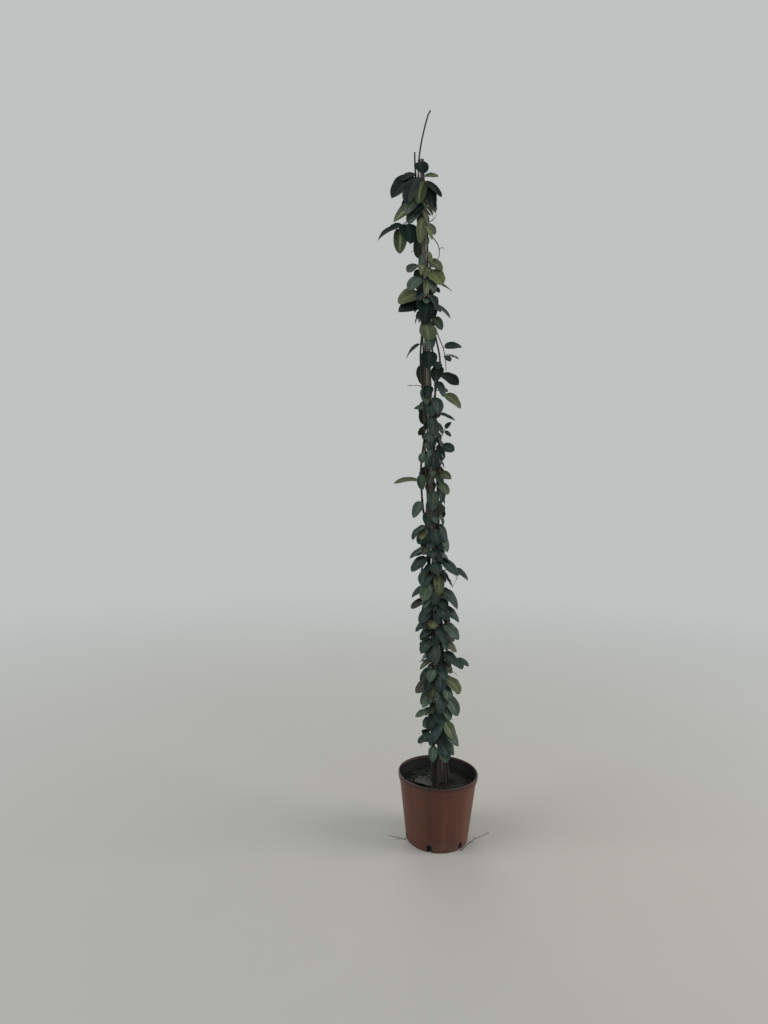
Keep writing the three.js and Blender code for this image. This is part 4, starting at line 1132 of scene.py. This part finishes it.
def pot_material():
    """Brown nursery plastic: flow marks, scuffs, painted light and shade in broad vertical bands, a darker
    band round the rim, dust at the foot, and a nearly black inside below the rim.
    """
    look = Look("pot_plastic", 0.24)
    height = look.parts_of(look.coords)["Z"]
    cloud = look.noise(14, 5, 0.6)
    flow = look.noise(1.0, 4, 0.6, look.stretched(60, 60, 6))
    # Broad vertical bands of painted light and shade up and down the side of the pot.
    painted_light_and_shade_bands = look.noise(1.0, 2, 0.5, look.stretched(26, 26, 3))
    dust = look.times(look.band(height, 0.045, 0.0), look.band(look.noise(45, 6, 0.65), 0.4, 0.75))
    scuffs = look.band(look.noise(1.0, 6, 0.7, look.stretched(90, 90, 480)), 0.62, 0.74)
    ragged = look.times(look.noise(70, 5, 0.6), 0.5)
    inside_darkening = look.band(look.maths("SUBTRACT", look.known("leaf_colour")["Alpha"], ragged), 0.0, 0.25)
    look.colour = look.blend(cloud, (0.088, 0.0325, 0.0210), (0.116, 0.0460, 0.0305))
    look.lay(look.band(flow, 0.5, 0.72), 0.3, (0.142, 0.064, 0.044))
    # Painted light and shade: the lighter and the darker of the broad vertical bands.
    look.lay(look.band(painted_light_and_shade_bands, 0.52, 0.68), 0.55, (0.160, 0.060, 0.037))
    look.lay(look.band(painted_light_and_shade_bands, 0.44, 0.30), 0.5, (0.066, 0.031, 0.023))
    # A darker band round the top of the collar.
    look.lay(look.band(height, 0.138, 0.1460), 0.8, (0.034, 0.021, 0.018))
    look.lay(dust, 0.4, (0.17, 0.145, 0.12))
    look.lay(scuffs, 0.3, (0.18, 0.115, 0.088))
    # Nearly black inside the pot, below the rim.
    look.lay(inside_darkening, 0.96, (0.0095, 0.0115, 0.0120))
    look.relief((look.noise(520, 3), 0.10, 0.25), (flow, 0.3, 0.12), (scuffs, 0.12, 0.3))
    return look.finish(0.38, look.times(cloud, 0.2), look.times(dust, 0.3), look.times(inside_darkening, 0.4))


def soil_material():
    """Wet potting mix: nearly black, with paler fibres and a green film in places."""
    look = Look("soil", 0.2, 0.9)
    own = look.known("leaf_colour")
    grain = look.noise(900, 6, 0.7)
    clod = look.noise(130, 5, 0.6)
    film = look.band(look.noise(46, 6, 0.7), 0.54, 0.66)
    look.colour = look.blend(grain, (0.28, 0.31, 0.31), (1.35, 1.38, 1.28))
    look.tint(1.0, 1.0, own["Color"])
    look.lay(film, look.times(own["Alpha"], 0.6), (0.016, 0.027, 0.014))
    look.relief((clod, 1.2, 0.7), (grain, 0.5, 0.7))
    return look.finish(look.maths("SUBTRACT", 1.0, look.times(clod, 0.35)))


def moss_material():
    """Dull moss, mottled along its shoots."""
    look = Look("moss", 0.2, 0.85)
    look.colour = look.blend(look.noise(800, 4), (0.5, 0.55, 0.4), (1.6, 1.6, 1.3))
    look.tint(1.0, 1.0, look.known("leaf_colour")["Color"])
    look.relief((look.noise(1400, 3), 0.2, 0.5))
    return look.finish()


def litter_material():
    """Dry dead leaf: dull grey, with dark veins and paler papery patches towards its margin."""
    look = Look("dead_leaf", 0.25, 0.8)
    side, along, _ = look.parts_of(look.known("leaf_place")["Vector"])
    across = look.maths("ABSOLUTE", side)
    vein = look.side_veins(across, along)
    look.colour = look.blend(look.noise(95, 6, 0.65), (0.016, 0.0155, 0.013), (0.045, 0.0435, 0.038))
    look.lay(vein, 0.5, (0.042, 0.036, 0.028))
    look.lay(look.band(across, 0.10, 0.02), 0.6, (0.095, 0.088, 0.074))
    look.lay(look.band(across, 0.75, 1.0), 0.5, (0.066, 0.064, 0.057))
    look.relief((vein, 0.3, 0.5), (look.noise(600, 4), 0.25, 0.5))
    return look.finish()


def root_material():
    """Brown roots and stalks, finely grained."""
    look = Look("root", 0.25, 0.75)
    grain = look.noise(260, 5, 0.6)
    look.colour = look.blend(grain, (0.040, 0.031, 0.024), (0.120, 0.098, 0.076))
    look.relief((grain, 0.2, 0.6))
    return look.finish()


def floor_material():
    """Matt floor that further away turns black and glows instead, a painted glow as even as the room's
    light, so that no edge shows.
    """
    look = Look("studio_floor", 0.0, 1.0)
    reach = look.new("VectorMath", operation="LENGTH")
    look.put(look.coords, reach.inputs[0])
    far = look.band(reach.outputs["Value"], FLOOR["near"], FLOOR["far"])
    look.colour = look.blend(look.noise(1.6, 5, 0.6), (0.375, 0.364, 0.338), (0.405, 0.394, 0.368))
    # Painted glow: far off, the floor turns black and glows as bright as the room's light.
    look.lay(far, 1.0, (0.0, 0.0, 0.0))
    look.put(SKY["colour"], look.shader.inputs["Emission Color"])
    look.put(look.times(far, SKY["strength"]), look.shader.inputs["Emission Strength"])
    look.relief((look.noise(60, 5), 0.6, 0.12))
    return look.finish()


# Pot

def wall_radius(height):
    collar_foot = POT["height"] - POT["collar"] - POT["slope"]
    return mix(POT["foot"], POT["rim"] - POT["step"], height / collar_foot)


def pot_profile():
    """Radius and height round the pot's section, from the middle of its base, out, up, over and in.

    The bare numbers in it are the small rounds and steps of the moulding.
    """
    foot = POT["height"] - POT["collar"] - POT["slope"]
    top = POT["height"] - POT["collar"]
    ring = POT["foot"] - POT["ring"]
    rim, height, bore = POT["rim"], POT["height"], POT["rim"] - POT["collar_wall"]
    wall, inside = wall_radius(foot), wall_radius(foot) - POT["wall"]
    base = [
        (MIDDLE, 0), (POT["pad"] - 1, 0), (POT["pad"], 0.25), (POT["pad"] + POT["recess"], POT["recess"]),
        (ring - POT["recess"], POT["recess"]), (ring - 0.3, 0.3), (ring + 0.6, 0), (POT["foot"] - 1.2, 0),
        (POT["foot"] - 0.3, 0.35), (POT["foot"], 1.4),
    ]
    outer = [(wall_radius(z), z) for z in np.linspace(1.4, foot - 1.0, 24)[1:]]
    collar = [
        (wall + 0.15, foot + 0.4), (wall + 0.9, foot + 2.2), (rim - 2.0, top - 1.6),
        (rim - 1.45, top - 0.4), (rim - 1.2, top + 0.6), (rim - 1.0, top + 3.0), (rim - 0.75, top + 3.6),
        (rim - 0.6, height - 4.2), (rim - 0.2, height - 3.4), (rim, height - 2.2),
        (rim - 0.05, height - 1.1), (rim - 0.4, height - 0.35), (rim - 1.0, height),
        (bore + 1.0, height), (bore + 0.35, height - 0.3), (bore, height - 1.2), (bore, top + 1.0),
        (bore - 0.5, top - 0.6), (inside + 0.3, foot + 0.8), (inside, foot - 0.6),
    ]
    inner = [(wall_radius(z) - POT["wall"], z) for z in np.linspace(foot - 6, 8, 12)]
    floor = [(POT["foot"] - POT["wall"], POT["floor_top"]), (MIDDLE, POT["floor_top"])]
    return base + outer + collar + inner + floor


def notch_cutter(azimuth):
    """A round-topped slot through the foot of the wall."""
    half = NOTCH["width"] / 2
    arch = [(-half, -NOTCH["past"]), (half, -NOTCH["past"])]
    for a in np.linspace(0, np.pi, 15):
        arch.append((half * math.cos(a), NOTCH["height"] - half + half * math.sin(a)))
    out = polar(azimuth, 1)
    side = polar(azimuth + 90, 1)
    near = POT["foot"] - POT["ring"] + NOTCH["past"]
    rings = []
    for reach in (near, near + NOTCH["depth"]):
        rings.append([reach * out + x * side + Vector((0, 0, z)) for x, z in arch])
    cutter = Parts()
    cutter.add_rings(np.array(rings))
    return linked("notch_cutter", cutter.mesh("notch_cutter"))


def make_pot():
    """The turned pot, darkened nearly black inside below the rim, with its drain notches cut out."""
    profile = np.array(pot_profile())
    # How much darker each ring of the inside is, below the rim.
    inside_darkening = np.interp(POT["height"] - profile[:, 1], POT["inside_darkening_edge"], (0, 1))
    inside_darkening[: profile[:, 1].argmax() + 2] = 0
    parts = Parts()
    parts.add_rings(turned_rings(profile, POT["sides"]), 0, ring_marks(inside_darkening, POT["sides"]))
    whole = linked("pot_blank", parts.mesh("pot_blank"))
    cutters = []
    for i in range(NOTCH["count"]):
        cut = whole.modifiers.new("notch", "BOOLEAN")
        cut.operation = "DIFFERENCE"
        cut.solver = "EXACT"
        cut.object = notch_cutter(NOTCH["first"] + 360 / NOTCH["count"] * i)
        cutters.append(cut.object)
    bpy.context.view_layer.update()
    finished = bpy.data.meshes.new_from_object(whole.evaluated_get(bpy.context.evaluated_depsgraph_get()))
    for blank in [whole, *cutters]:
        bpy.data.objects.remove(blank)
    finished.name = "nursery_pot"
    finished.materials.clear()
    finished.materials.append(pot_material())
    finish_piece("nursery_pot", finished, ["pot"], 32)


# Soil

def soil_height(x, y):
    share = math.hypot(x, y) / (POT["rim"] - POT["wall"])
    wave = TURN / SOIL["lump_length"]
    lumps = math.sin(wave * x + 0.7) * math.cos(wave * y) + 0.6 * math.sin(wave * (1.7 * y - 0.6 * x))
    return SOIL["top"] + SOIL["mound"] * (1 - share**2) + SOIL["lump"] * lumps * (1 - share**4)


def crumbly(x, y):
    """The soil's surface with its crumbs and small hollows."""
    here = Vector((x, y, 0))
    fine = noise.fractal(here * CRUMBLY["fineness"], 0.7, 2.1, 5)
    coarse = noise.noise(here * CRUMBLY["coarseness"])
    return soil_height(x, y) + CRUMBLY["fine"] * fine + CRUMBLY["coarse"] * coarse - CRUMBLY["sunk"]


def soil_radius(height):
    return wall_radius(height) - POT["wall"] - SOIL["clearance"]


def make_soil():
    """The soil, from its flat foot up the pot's wall and in over its rough surface."""
    sides, rings = SOIL["sides"], SOIL["rings"]
    foot = POT["floor_top"] + 0.3
    profile = [(MIDDLE, foot), (soil_radius(foot) - 1, foot)]
    profile += [(soil_radius(z), z) for z in np.linspace(foot + 1, SOIL["top"] - 4, 12)]
    for i in range(rings + 1):
        profile.append((max(soil_radius(SOIL["top"]) * (1 - i / rings), MIDDLE), 0))
    rows = turned_rings(profile, sides)
    for ring in rows[-rings - 1:]:
        ring[:, 2] = [crumbly(x, y) for x, y, _ in ring.tolist()]
    parts = Parts()
    parts.add_rings(rows, 0, (0.0135, 0.0130, 0.0120, 1.0))
    soil = soil_material()
    parts.piece("potting_soil", [soil], "soil", "soil", sharp=180)
    make_crumbs(soil)


def lump_vertices(random, size, flat):
    """An uneven lump with its own proportions, from a sphere of few faces."""
    long, wide = mix(*CRUMBS["long"], next(random)), mix(*CRUMBS["wide"], next(random))
    stretch = [size * long, size * wide, size * flat]
    turn = CRUMBS["turn"] * next(random)
    tilt = mix(*CRUMBS["tilt"], next(random))
    made = []
    for v in LUMP_VERTICES:
        bump = 1 + CRUMBS["rough"] * (next(random) - 0.5)
        x, y, z = [c * s * bump for c, s in zip(v, stretch)]
        x, z = x * math.cos(tilt) - z * math.sin(tilt), x * math.sin(tilt) + z * math.cos(tilt)
        x, y = x * math.cos(turn) - y * math.sin(turn), x * math.sin(turn) + y * math.cos(turn)
        made.append((x, y, z))
    return np.array(made)


def lump_mesh():
    """Rings of a rough ball, as vertices and faces."""
    rows, sides = 5, 8
    vertices = []
    for i in range(rows):
        down = math.pi * (i + 0.5) / rows
        for k in range(sides):
            a = TURN * (k + 0.5 * (i % 2)) / sides
            vertices.append((math.sin(down) * math.cos(a), math.sin(down) * math.sin(a), -math.cos(down)))
    return vertices, ring_faces(rows, sides)


LUMP_VERTICES, LUMP_FACES = lump_mesh()
CRUMBS = {
    "count": 900, "smallest": 0.7, "largest": 3.4, "few_large": 2.6, "within": 83, "film": 0.4,
    "long": (0.6, 1.3), "wide": (0.5, 1.0), "turn": 6.28, "tilt": (-0.5, 0.5), "rough": 0.5, "proud": 0.25,
}
# How far crumbs and moss stay from the middle of a stem, from that of the cane, and from the pot's wall.
CLEAR = {"stem": 3.2, "cane": 7.2, "wall": 1}
# Kinds of crumb: the share of all up to this kind, colour, and height as a share of the size.
CRUMB_KINDS = [
    (0.45, (0.013, 0.012, 0.011), 0.75),
    (0.7, (0.024, 0.018, 0.014), 0.35),
    (0.8, (0.038, 0.031, 0.025), 0.3),
    (0.975, (0.012, 0.012, 0.012), 0.8),
    (1.0, (0.075, 0.072, 0.064), 0.7),
]


def is_free(x, y, margin):
    """Whether a spot on the soil is clear of the stems, the cane and the pot's wall."""
    for stem in STEMS:
        centre = stem_centre(stem, SOIL["top"])
        if math.hypot(x - centre.x, y - centre.y) < CLEAR["stem"] + margin:
            return False
    if math.hypot(x - CANE["from_x"], y) < CLEAR["cane"] + margin:
        return False
    return math.hypot(x, y) < wall_radius(SOIL["top"]) - POT["wall"] - CLEAR["wall"] - margin


def make_crumbs(soil):
    """Crumbs of peat, chips of bark and a few pale grains, half sunk in the surface."""
    random = draws(SEEDS["crumbs"])
    parts = Parts()
    for _ in range(CRUMBS["count"]):
        out, angle, draw, grow = drawn(random, 4)
        size = mix(CRUMBS["smallest"], CRUMBS["largest"], grow ** CRUMBS["few_large"])
        spot = polar(360 * angle, CRUMBS["within"] * math.sqrt(out))
        if not is_free(spot.x, spot.y, size):
            continue
        colour, flat = next(kind for share, *kind in CRUMB_KINDS if draw <= share)
        lump = lump_vertices(random, size, flat)
        lump += np.array([spot.x, spot.y, crumbly(spot.x, spot.y) + CRUMBS["proud"] * size * flat])
        parts.add(lump, LUMP_FACES, 0, (*colour, CRUMBS["film"]))
    parts.piece("soil_crumbs", [soil], "soil", sharp=60)


MOSS = {
    "cushions": 46, "within": 82, "wide": (2.5, 7.0), "usual_wide": 3.5, "shoots": 24, "height": 2.6,
    "uneven": (0.5, 1.1), "crown": 1.1, "lower_out": 0.5, "apart": 1.0, "sunk": 0.4, "radius": 0.55,
    "lean": 0.5, "waist": 0.5, "waist_leans": 0.3, "waist_wider": 0.25, "corners": (0, 2.1, 4.2),
    "shade": (0.7, 1.5), "colour": (0.016, 0.028, 0.011),
}


def make_moss():
    """Small cushions of moss, each of many short shoots."""
    random = draws(SEEDS["moss"])
    parts = Parts()
    for _ in range(MOSS["cushions"]):
        out, angle, wide, light = drawn(random, 4)
        centre = polar(360 * angle, MOSS["within"] * math.sqrt(out))
        wide = mix(*MOSS["wide"], wide)
        shade = mix(*MOSS["shade"], light)
        for _ in range(int(MOSS["shoots"] * wide / MOSS["usual_wide"])):
            off, turn, tall, lean = drawn(random, 4)
            spot = centre + polar(360 * turn, wide * math.sqrt(off))
            tall = MOSS["height"] * mix(*MOSS["uneven"], tall) * (MOSS["crown"] - MOSS["lower_out"] * off)
            if is_free(spot.x, spot.y, MOSS["apart"]):
                add_moss_shoot(parts, spot, tall, 360 * lean, [c * shade for c in MOSS["colour"]])
    parts.piece("moss", [moss_material()], "soil", sharp=180)


def add_moss_shoot(parts, spot, tall, lean, colour):
    """A thin three-sided spike with a waist."""
    foot = crumbly(spot.x, spot.y) - MOSS["sunk"]
    tip = polar(lean, MOSS["lean"] * tall)
    top = (spot.x + tip.x, spot.y + tip.y, foot + MOSS["sunk"] + tall)
    leans, wider = MOSS["waist_leans"], MOSS["waist_wider"]
    corners, waist, faces = [], [], [(2, 1, 0)]
    for k, a in enumerate(MOSS["corners"]):
        x, y = spot.x + MOSS["radius"] * math.cos(a), spot.y + MOSS["radius"] * math.sin(a)
        corners.append((x, y, foot))
        waist.append((x + leans * tip.x + wider * (x - spot.x), y + leans * tip.y + wider * (y - spot.y),
                      foot + MOSS["waist"] * tall))
        after = (k + 1) % 3
        faces += [(k, after, 3 + after, 3 + k), (3 + k, 3 + after, 6)]
    parts.add([*corners, *waist, top], faces, 0, (*colour, 0))


# Cane

def hump(off, size, middle, length):
    """A rounded rise over the distances from a joint."""
    return size * np.exp(-((off - middle) / length) ** 2)


def make_cane():
    """A bamboo cane with its joints and a cut hollow top."""
    nodes = np.arange(CANE["first_node"], CANE["top"] - NODE["below_top"], CANE["spacing"])
    heights = set(np.arange(CANE["foot"], CANE["top"], CANE["row"]))
    for node in nodes:
        heights |= set(node + np.array(NODE_STEPS))
    heights = np.array(sorted(heights | {CANE["top"] - CUT["from"]}))
    radii = np.array([cane_radius(z) for z in heights])
    dark = np.zeros(len(heights))
    for node in nodes:
        off = heights - node
        radii += CANE["swell"] * (hump(off, *NODE["above"]) + hump(off, *NODE["below"]))
        radii -= hump(off, *NODE["groove"])
        dark += hump(off, *NODE["dark"])
    centres = np.array([cane_centre(z) for z in heights])
    radii[-1] -= CUT["worn"]
    bore = CUT["bore"] * CANE["top_radius"]
    top = centres[-1]
    rim = top + [0, 0, CUT["rise"]]
    centres = np.concatenate([centres, [rim, rim, top, top - [0, 0, CUT["deep"]]]])
    radii = np.concatenate([radii, [radii[-1] - CUT["outer"], bore + CUT["inner"], bore, bore]])
    # Painted shade down the bore of the cut top, after a slightly darker rim.
    dark = np.concatenate([dark, CUT["dark"]])
    axis = np.array(cane_centre(1000.0) - cane_centre(0.0))
    parts = Parts()
    parts.add_rings(rings_of(centres, radii, CANE["sides"], np.repeat([axis], len(centres), 0)), 0,
                    ring_marks(np.clip(dark, 0, 1), CANE["sides"]))
    parts.piece("bamboo_cane_finished", [cane_material()], "cane", "bamboo_cane", sharp=50)


# Leafy stems

# Thin leafless twigs: the stem's number, the height where the twig leaves it, and points from there.
TWIGS = [
    (4, 1396, [(6, -3, -1), (15, -3, 5), (19, -3, 14), (18, -3, 23)]),
    (4, 1390, [(5, -3, 4), (12, -4, 10), (13, -4, 17)]),
    (2, 1262, [(3, -4, -8), (8, -7, -16), (7, -7, -26)]),
    (5, 1244, [(-3, -3, -8), (0, -4, -18), (4, -3, -27)]),
    (3, 873, [(4, -2, -6), (6, -2, -20), (2, -2, -32), (-5, -2, -40)]),
    (1, 586, [(10, -4, 18), (21, -5, 24), (33, -6, 15), (38, -6, -2)]),
    (1, 600, [(20, -3, 7), (38, -4, 5), (44, -4, -2), (36, -4, -18), (31, -4, -30)]),
    (6, 540, [(-14, 2, -4), (-26, 0, -3), (-34, -2, -9)]),
    (0, 392, [(12, -3, -12), (24, -4, -17), (32, -4, -27)]),
    (5, 238, [(-12, -3, -14), (-20, -4, -22), (-26, -4, -34)]),
    (2, 1172, [(-4, -4, -10), (-7, -5, -24), (-5, -5, -36)]),
]
TWIG = {"radius": 0.85, "tip_radius": 0.35, "sides": 7, "step": 2.5, "wander": 0.8, "fineness": 0.09}

# The leafless shoot ends in a hook: points from a share of its length.
HOOK = {"share": 0.62, "path": [(4, 0, 3), (8, 0, 4), (11, 0, -1)]}
BUD = {"length": 9.0, "towards": (0.55, -0.2, 0.8), "fold": 2.2}
BUD_LEAF = {"width": 0.42, "bend": 50, "face": -60, "lift": 10, "tone": "mid", "kind": "listed"}


def stem_path(stem, step):
    foot = SOIL["top"] - TWINE["buried"]
    free = np.arange(SOIL["top"], stem["top"], step)
    heights = np.concatenate([[foot], free, [stem["top"] - 0.6, stem["top"]]])
    centres = np.array([stem_centre(stem, z) for z in heights])
    radii = np.array([stem_radius(stem, z) for z in heights])
    return centres, radii


def stem_tube(parts, stem, leaves):
    """The stem's own tube, with a swelling where each leaf joins it."""
    skin = STEM_SKIN
    centres, radii = stem_path(stem, skin["step"])
    for leaf in leaves:
        if "height" in leaf:
            off = centres[:, 2] - leaf["height"] + skin["swelling_below"]
            radii += skin["swelling"] * np.exp(-(off / skin["swelling_length"]) ** 2)
    if stem.get("whip"):
        near = [WHIP["from"] - WHIP["blend"], WHIP["from"] + WHIP["blend"]]
        radii *= np.interp(centres[:, 2], near, [1, WHIP["swollen"]])
    radii[-1] *= skin["cut"]
    rings = rings_of(centres, np.minimum(radii, radii[0] + skin["most"]), skin["sides"])
    rough = np.array([[noise.noise(Vector(v) * skin["fineness"]) for v in ring] for ring in rings])
    rings += (rings - centres[:, None, :]) * (skin["rough"] * rough)[:, :, None]
    parts.add_rings(rings, 1)


def shoot_tube(parts, shoot, stem):
    """A side shoot, which ends in a hook if it has no leaves."""
    shares = np.linspace(0, 1, SHOOT["rings"])
    centres = np.array([shoot_centre(shoot, stem, t) for t in shares])
    centres += wander(centres, SHOOT["fineness"]) * (SHOOT["wander"] * np.sin(np.pi * shares))[:, None]
    radii = np.array([mix(SHOOT["radius"], SHOOT["tip_radius"] * 0.75, t) for t in shares])
    parts.add_rings(rings_of(centres, radii, SHOOT["sides"]), 1)
    if not shoot["leaves"]:
        add_twig(parts, shoot_centre(shoot, stem, HOOK["share"]), HOOK["path"])


def add_twig(parts, root, offsets):
    path = smooth_path([root, *[root + Vector(offset) for offset in offsets]], TWIG["step"])
    path += wander(path, TWIG["fineness"]) * TWIG["wander"]
    radii = np.linspace(TWIG["radius"], TWIG["tip_radius"], len(path))
    parts.add_rings(rings_of(path, radii, TWIG["sides"]), 1)


def add_bud(parts, stem):
    """A young leaf at the top of a stem, still folded."""
    top = stem_centre(stem, stem["top"])
    tip = top + Vector(BUD["towards"]).normalized() * BUD["length"]
    form = {**leaf_form(draws(SEEDS["bud"])), "fold": BUD["fold"]}
    add_blade(parts, {**BUD_LEAF, "root": top - Vector((0, 0, 1)), "tip": tip}, form, SMALL, 1.0)


def grown_blades():
    """Each stem's name with its blades, as their leaf, form, grid and calm."""
    space = Space()
    blades = {stem["name"]: [] for stem in STEMS}
    seeds = itertools.count(SEEDS["forms"] + SEEDS["form_step"], SEEDS["form_step"])
    for name, leaves in all_leaves().items():
        for leaf in leaves:
            form, calm = space.calmed(leaf, leaf_form(draws(next(seeds))), name)
            blades[name].append((leaf, form, LARGE, calm))
    for wanted in inner_leaves():
        form = leaf_form(draws(next(seeds)))
        stem = stem_facing(wanted["azimuth"], wanted["height"])
        leaf = space.turned_clear(stem, wanted, form)
        if leaf:
            blades[stem["name"]].append((leaf, form, SMALL, INNER["calm"]))
    return blades


def make_leafy_stems():
    blades = grown_blades()
    materials = [leaf_material(), bark_material()]
    for number, stem in enumerate(STEMS):
        parts = Parts()
        stem_tube(parts, stem, [blade[0] for blade in blades[stem["name"]]])
        for shoot in SHOOTS:
            if stem_facing(shoot["azimuth"], shoot["height"]) is stem:
                shoot_tube(parts, shoot, stem)
        for twig_stem, height, offsets in TWIGS:
            if twig_stem == number:
                add_twig(parts, stem_centre(stem, height), offsets)
        for blade in blades[stem["name"]]:
            add_blade(parts, *blade)
        if stem.get("whip"):
            add_bud(parts, stem)
        parts.piece(stem["name"] + "_grown", materials, "foliage", stem["name"], sharp=70)


# Fallen leaf and roots

def make_fallen_leaf():
    """A dry leaf that lies on the soil."""
    ends = []
    for x, y in (FALLEN["from"], FALLEN["to"]):
        ends.append(Vector((x, y, soil_height(x, y) + FALLEN["lift"])))
    leaf = {"root": ends[0], "tip": ends[1], "width": FALLEN["width"], "face": 0, "lift": 90,
            "bend": FALLEN["bend"], "tone": "brown", "kind": "listed"}
    parts = Parts()
    add_blade(parts, leaf, {**leaf_form(draws(SEEDS["fallen"])), **FALLEN["form"]}, LARGE, 1.0)
    parts.piece("dry_leaf", [litter_material(), root_material()], "dead_leaf", "fallen_leaf", sharp=70)


# Fine side roots on the ground: the root's name, the share of its length, and points from there.
ROOTLETS = {
    "root_right": [(0.42, [(4, 3), (9, 3), (13, 6)]), (0.62, [(2, 6), (1, 12)]), (1.0, [(4, 3), (2, 9)])],
    "root_left": [(0.5, [(-5, -4), (-11, -6)]), (1.0, [(-5, 3), (-9, 2)])],
}


def make_roots():
    """Roots that come out of two notches and lie on the ground, with finer ones that fork off them."""
    material = root_material()
    lie = ROOT["radius"] + ROOT["lift"]
    leave = [(wall_radius(ROOT["exit"]) - POT["wall"], ROOT["exit"]),
             (POT["foot"] + ROOT["sill_reach"], ROOT["sill"]), (POT["foot"] + ROOT["floor_reach"], lie)]
    for root in ROOTS:
        azimuth = NOTCH["first"] + 360 / NOTCH["count"] * root["notch"]
        route = [polar(azimuth, reach) + Vector((0, 0, height)) for reach, height in leave]
        route += [Vector((x, y, lie)) for x, y in root["along"]]
        parts = Parts()
        path = smooth_path(route, ROOT["step"])
        add_root(parts, path, ROOT["radius"], ROOT["tip"] * ROOT["radius"])
        for share, offsets in ROOTLETS[root["name"]]:
            fork = Vector(path[round(share * (len(path) - 1))])
            branch = smooth_path([fork, *[fork + Vector((x, y, -0.3)) for x, y in offsets]], ROOT["step"])
            add_root(parts, branch, ROOT["tip"] * ROOT["radius"], ROOT["fork_tip"] * ROOT["radius"])
        parts.piece(root["name"] + "_fine", [material], "root", root["name"], sharp=70)


def add_root(parts, path, radius, tip_radius):
    """A thin crooked root that lies on the ground where its path comes down to it."""
    radii = np.linspace(radius, tip_radius, len(path))
    path = path + wander(path, ROOT["fineness"]) * [ROOT["wander"], ROOT["wander"], 0]
    path[:, 2] = np.maximum(path[:, 2], radii + 0.05)
    parts.add_rings(rings_of(path, radii, ROOT["sides"]))


# Studio

# The floor's size and corners, and the distances in metres where its painted glow begins and where it is
# whole.
FLOOR = {"radius": 14.0, "corners": 96, "near": 0.2, "far": 3.4}
SKY = {"colour": (0.93, 0.97, 0.96), "strength": 0.56}
# Soft lights: name, place, what it is turned to, size, power and colour.
LIGHTS = [
    ("window", (-2.6, -0.9, 2.8), (-0.03, 0, 0.8), (2.0, 2.6), 59, (0.98, 1.0, 1.0)),
    ("fill", (3.1, -0.4, 1.7), (-0.03, 0, 0.5), (1.8, 2.4), 74, (1.0, 0.98, 0.95)),
    ("back", (-0.4, 3.2, 2.4), (-0.03, 0, 0.8), (2.0, 2.0), 36, (1.0, 1.0, 1.0)),
]


def make_camera():
    data = bpy.data.cameras.new("camera")
    data.sensor_width = SENSOR
    data.lens = PHOTO["focal"] / PHOTO["height"] * SENSOR
    data.shift_y = (PHOTO["centre_y"] - PHOTO["height"] / 2) / PHOTO["height"]
    camera = linked("camera", data)
    camera.location = CAMERA_PLACE
    camera.rotation_euler = (math.radians(90), CAMERA_ROLL, 0)
    bpy.context.scene.camera = camera


def soft_light(name, place, target, size, power, colour):
    data = bpy.data.lights.new(name, "AREA")
    data.shape = "RECTANGLE"
    data.size, data.size_y = size
    data.energy = power
    data.color = colour
    lamp = linked(name, data)
    lamp.location = place
    lamp.rotation_euler = (Vector(target) - Vector(place)).to_track_quat("-Z", "Y").to_euler()


def make_studio():
    world = bpy.data.worlds.new("studio")
    world.use_nodes = True
    background = world.node_tree.nodes["Background"]
    background.inputs["Color"].default_value = (*SKY["colour"], 1.0)
    background.inputs["Strength"].default_value = SKY["strength"]
    bpy.context.scene.world = world
    for light in LIGHTS:
        soft_light(*light)
    corners = [polar(360 * i / FLOOR["corners"], FLOOR["radius"]) for i in range(FLOOR["corners"])]
    mesh = bpy.data.meshes.new("studio_floor")
    mesh.from_pydata(corners, [], [tuple(range(FLOOR["corners"]))])
    mesh.materials.append(floor_material())
    linked("studio_floor", mesh)
    bpy.context.scene.view_settings.view_transform = "Standard"


make_camera()
make_studio()
make_pot()
make_soil()
make_moss()
make_cane()
make_leafy_stems()
make_fallen_leaf()
make_roots()
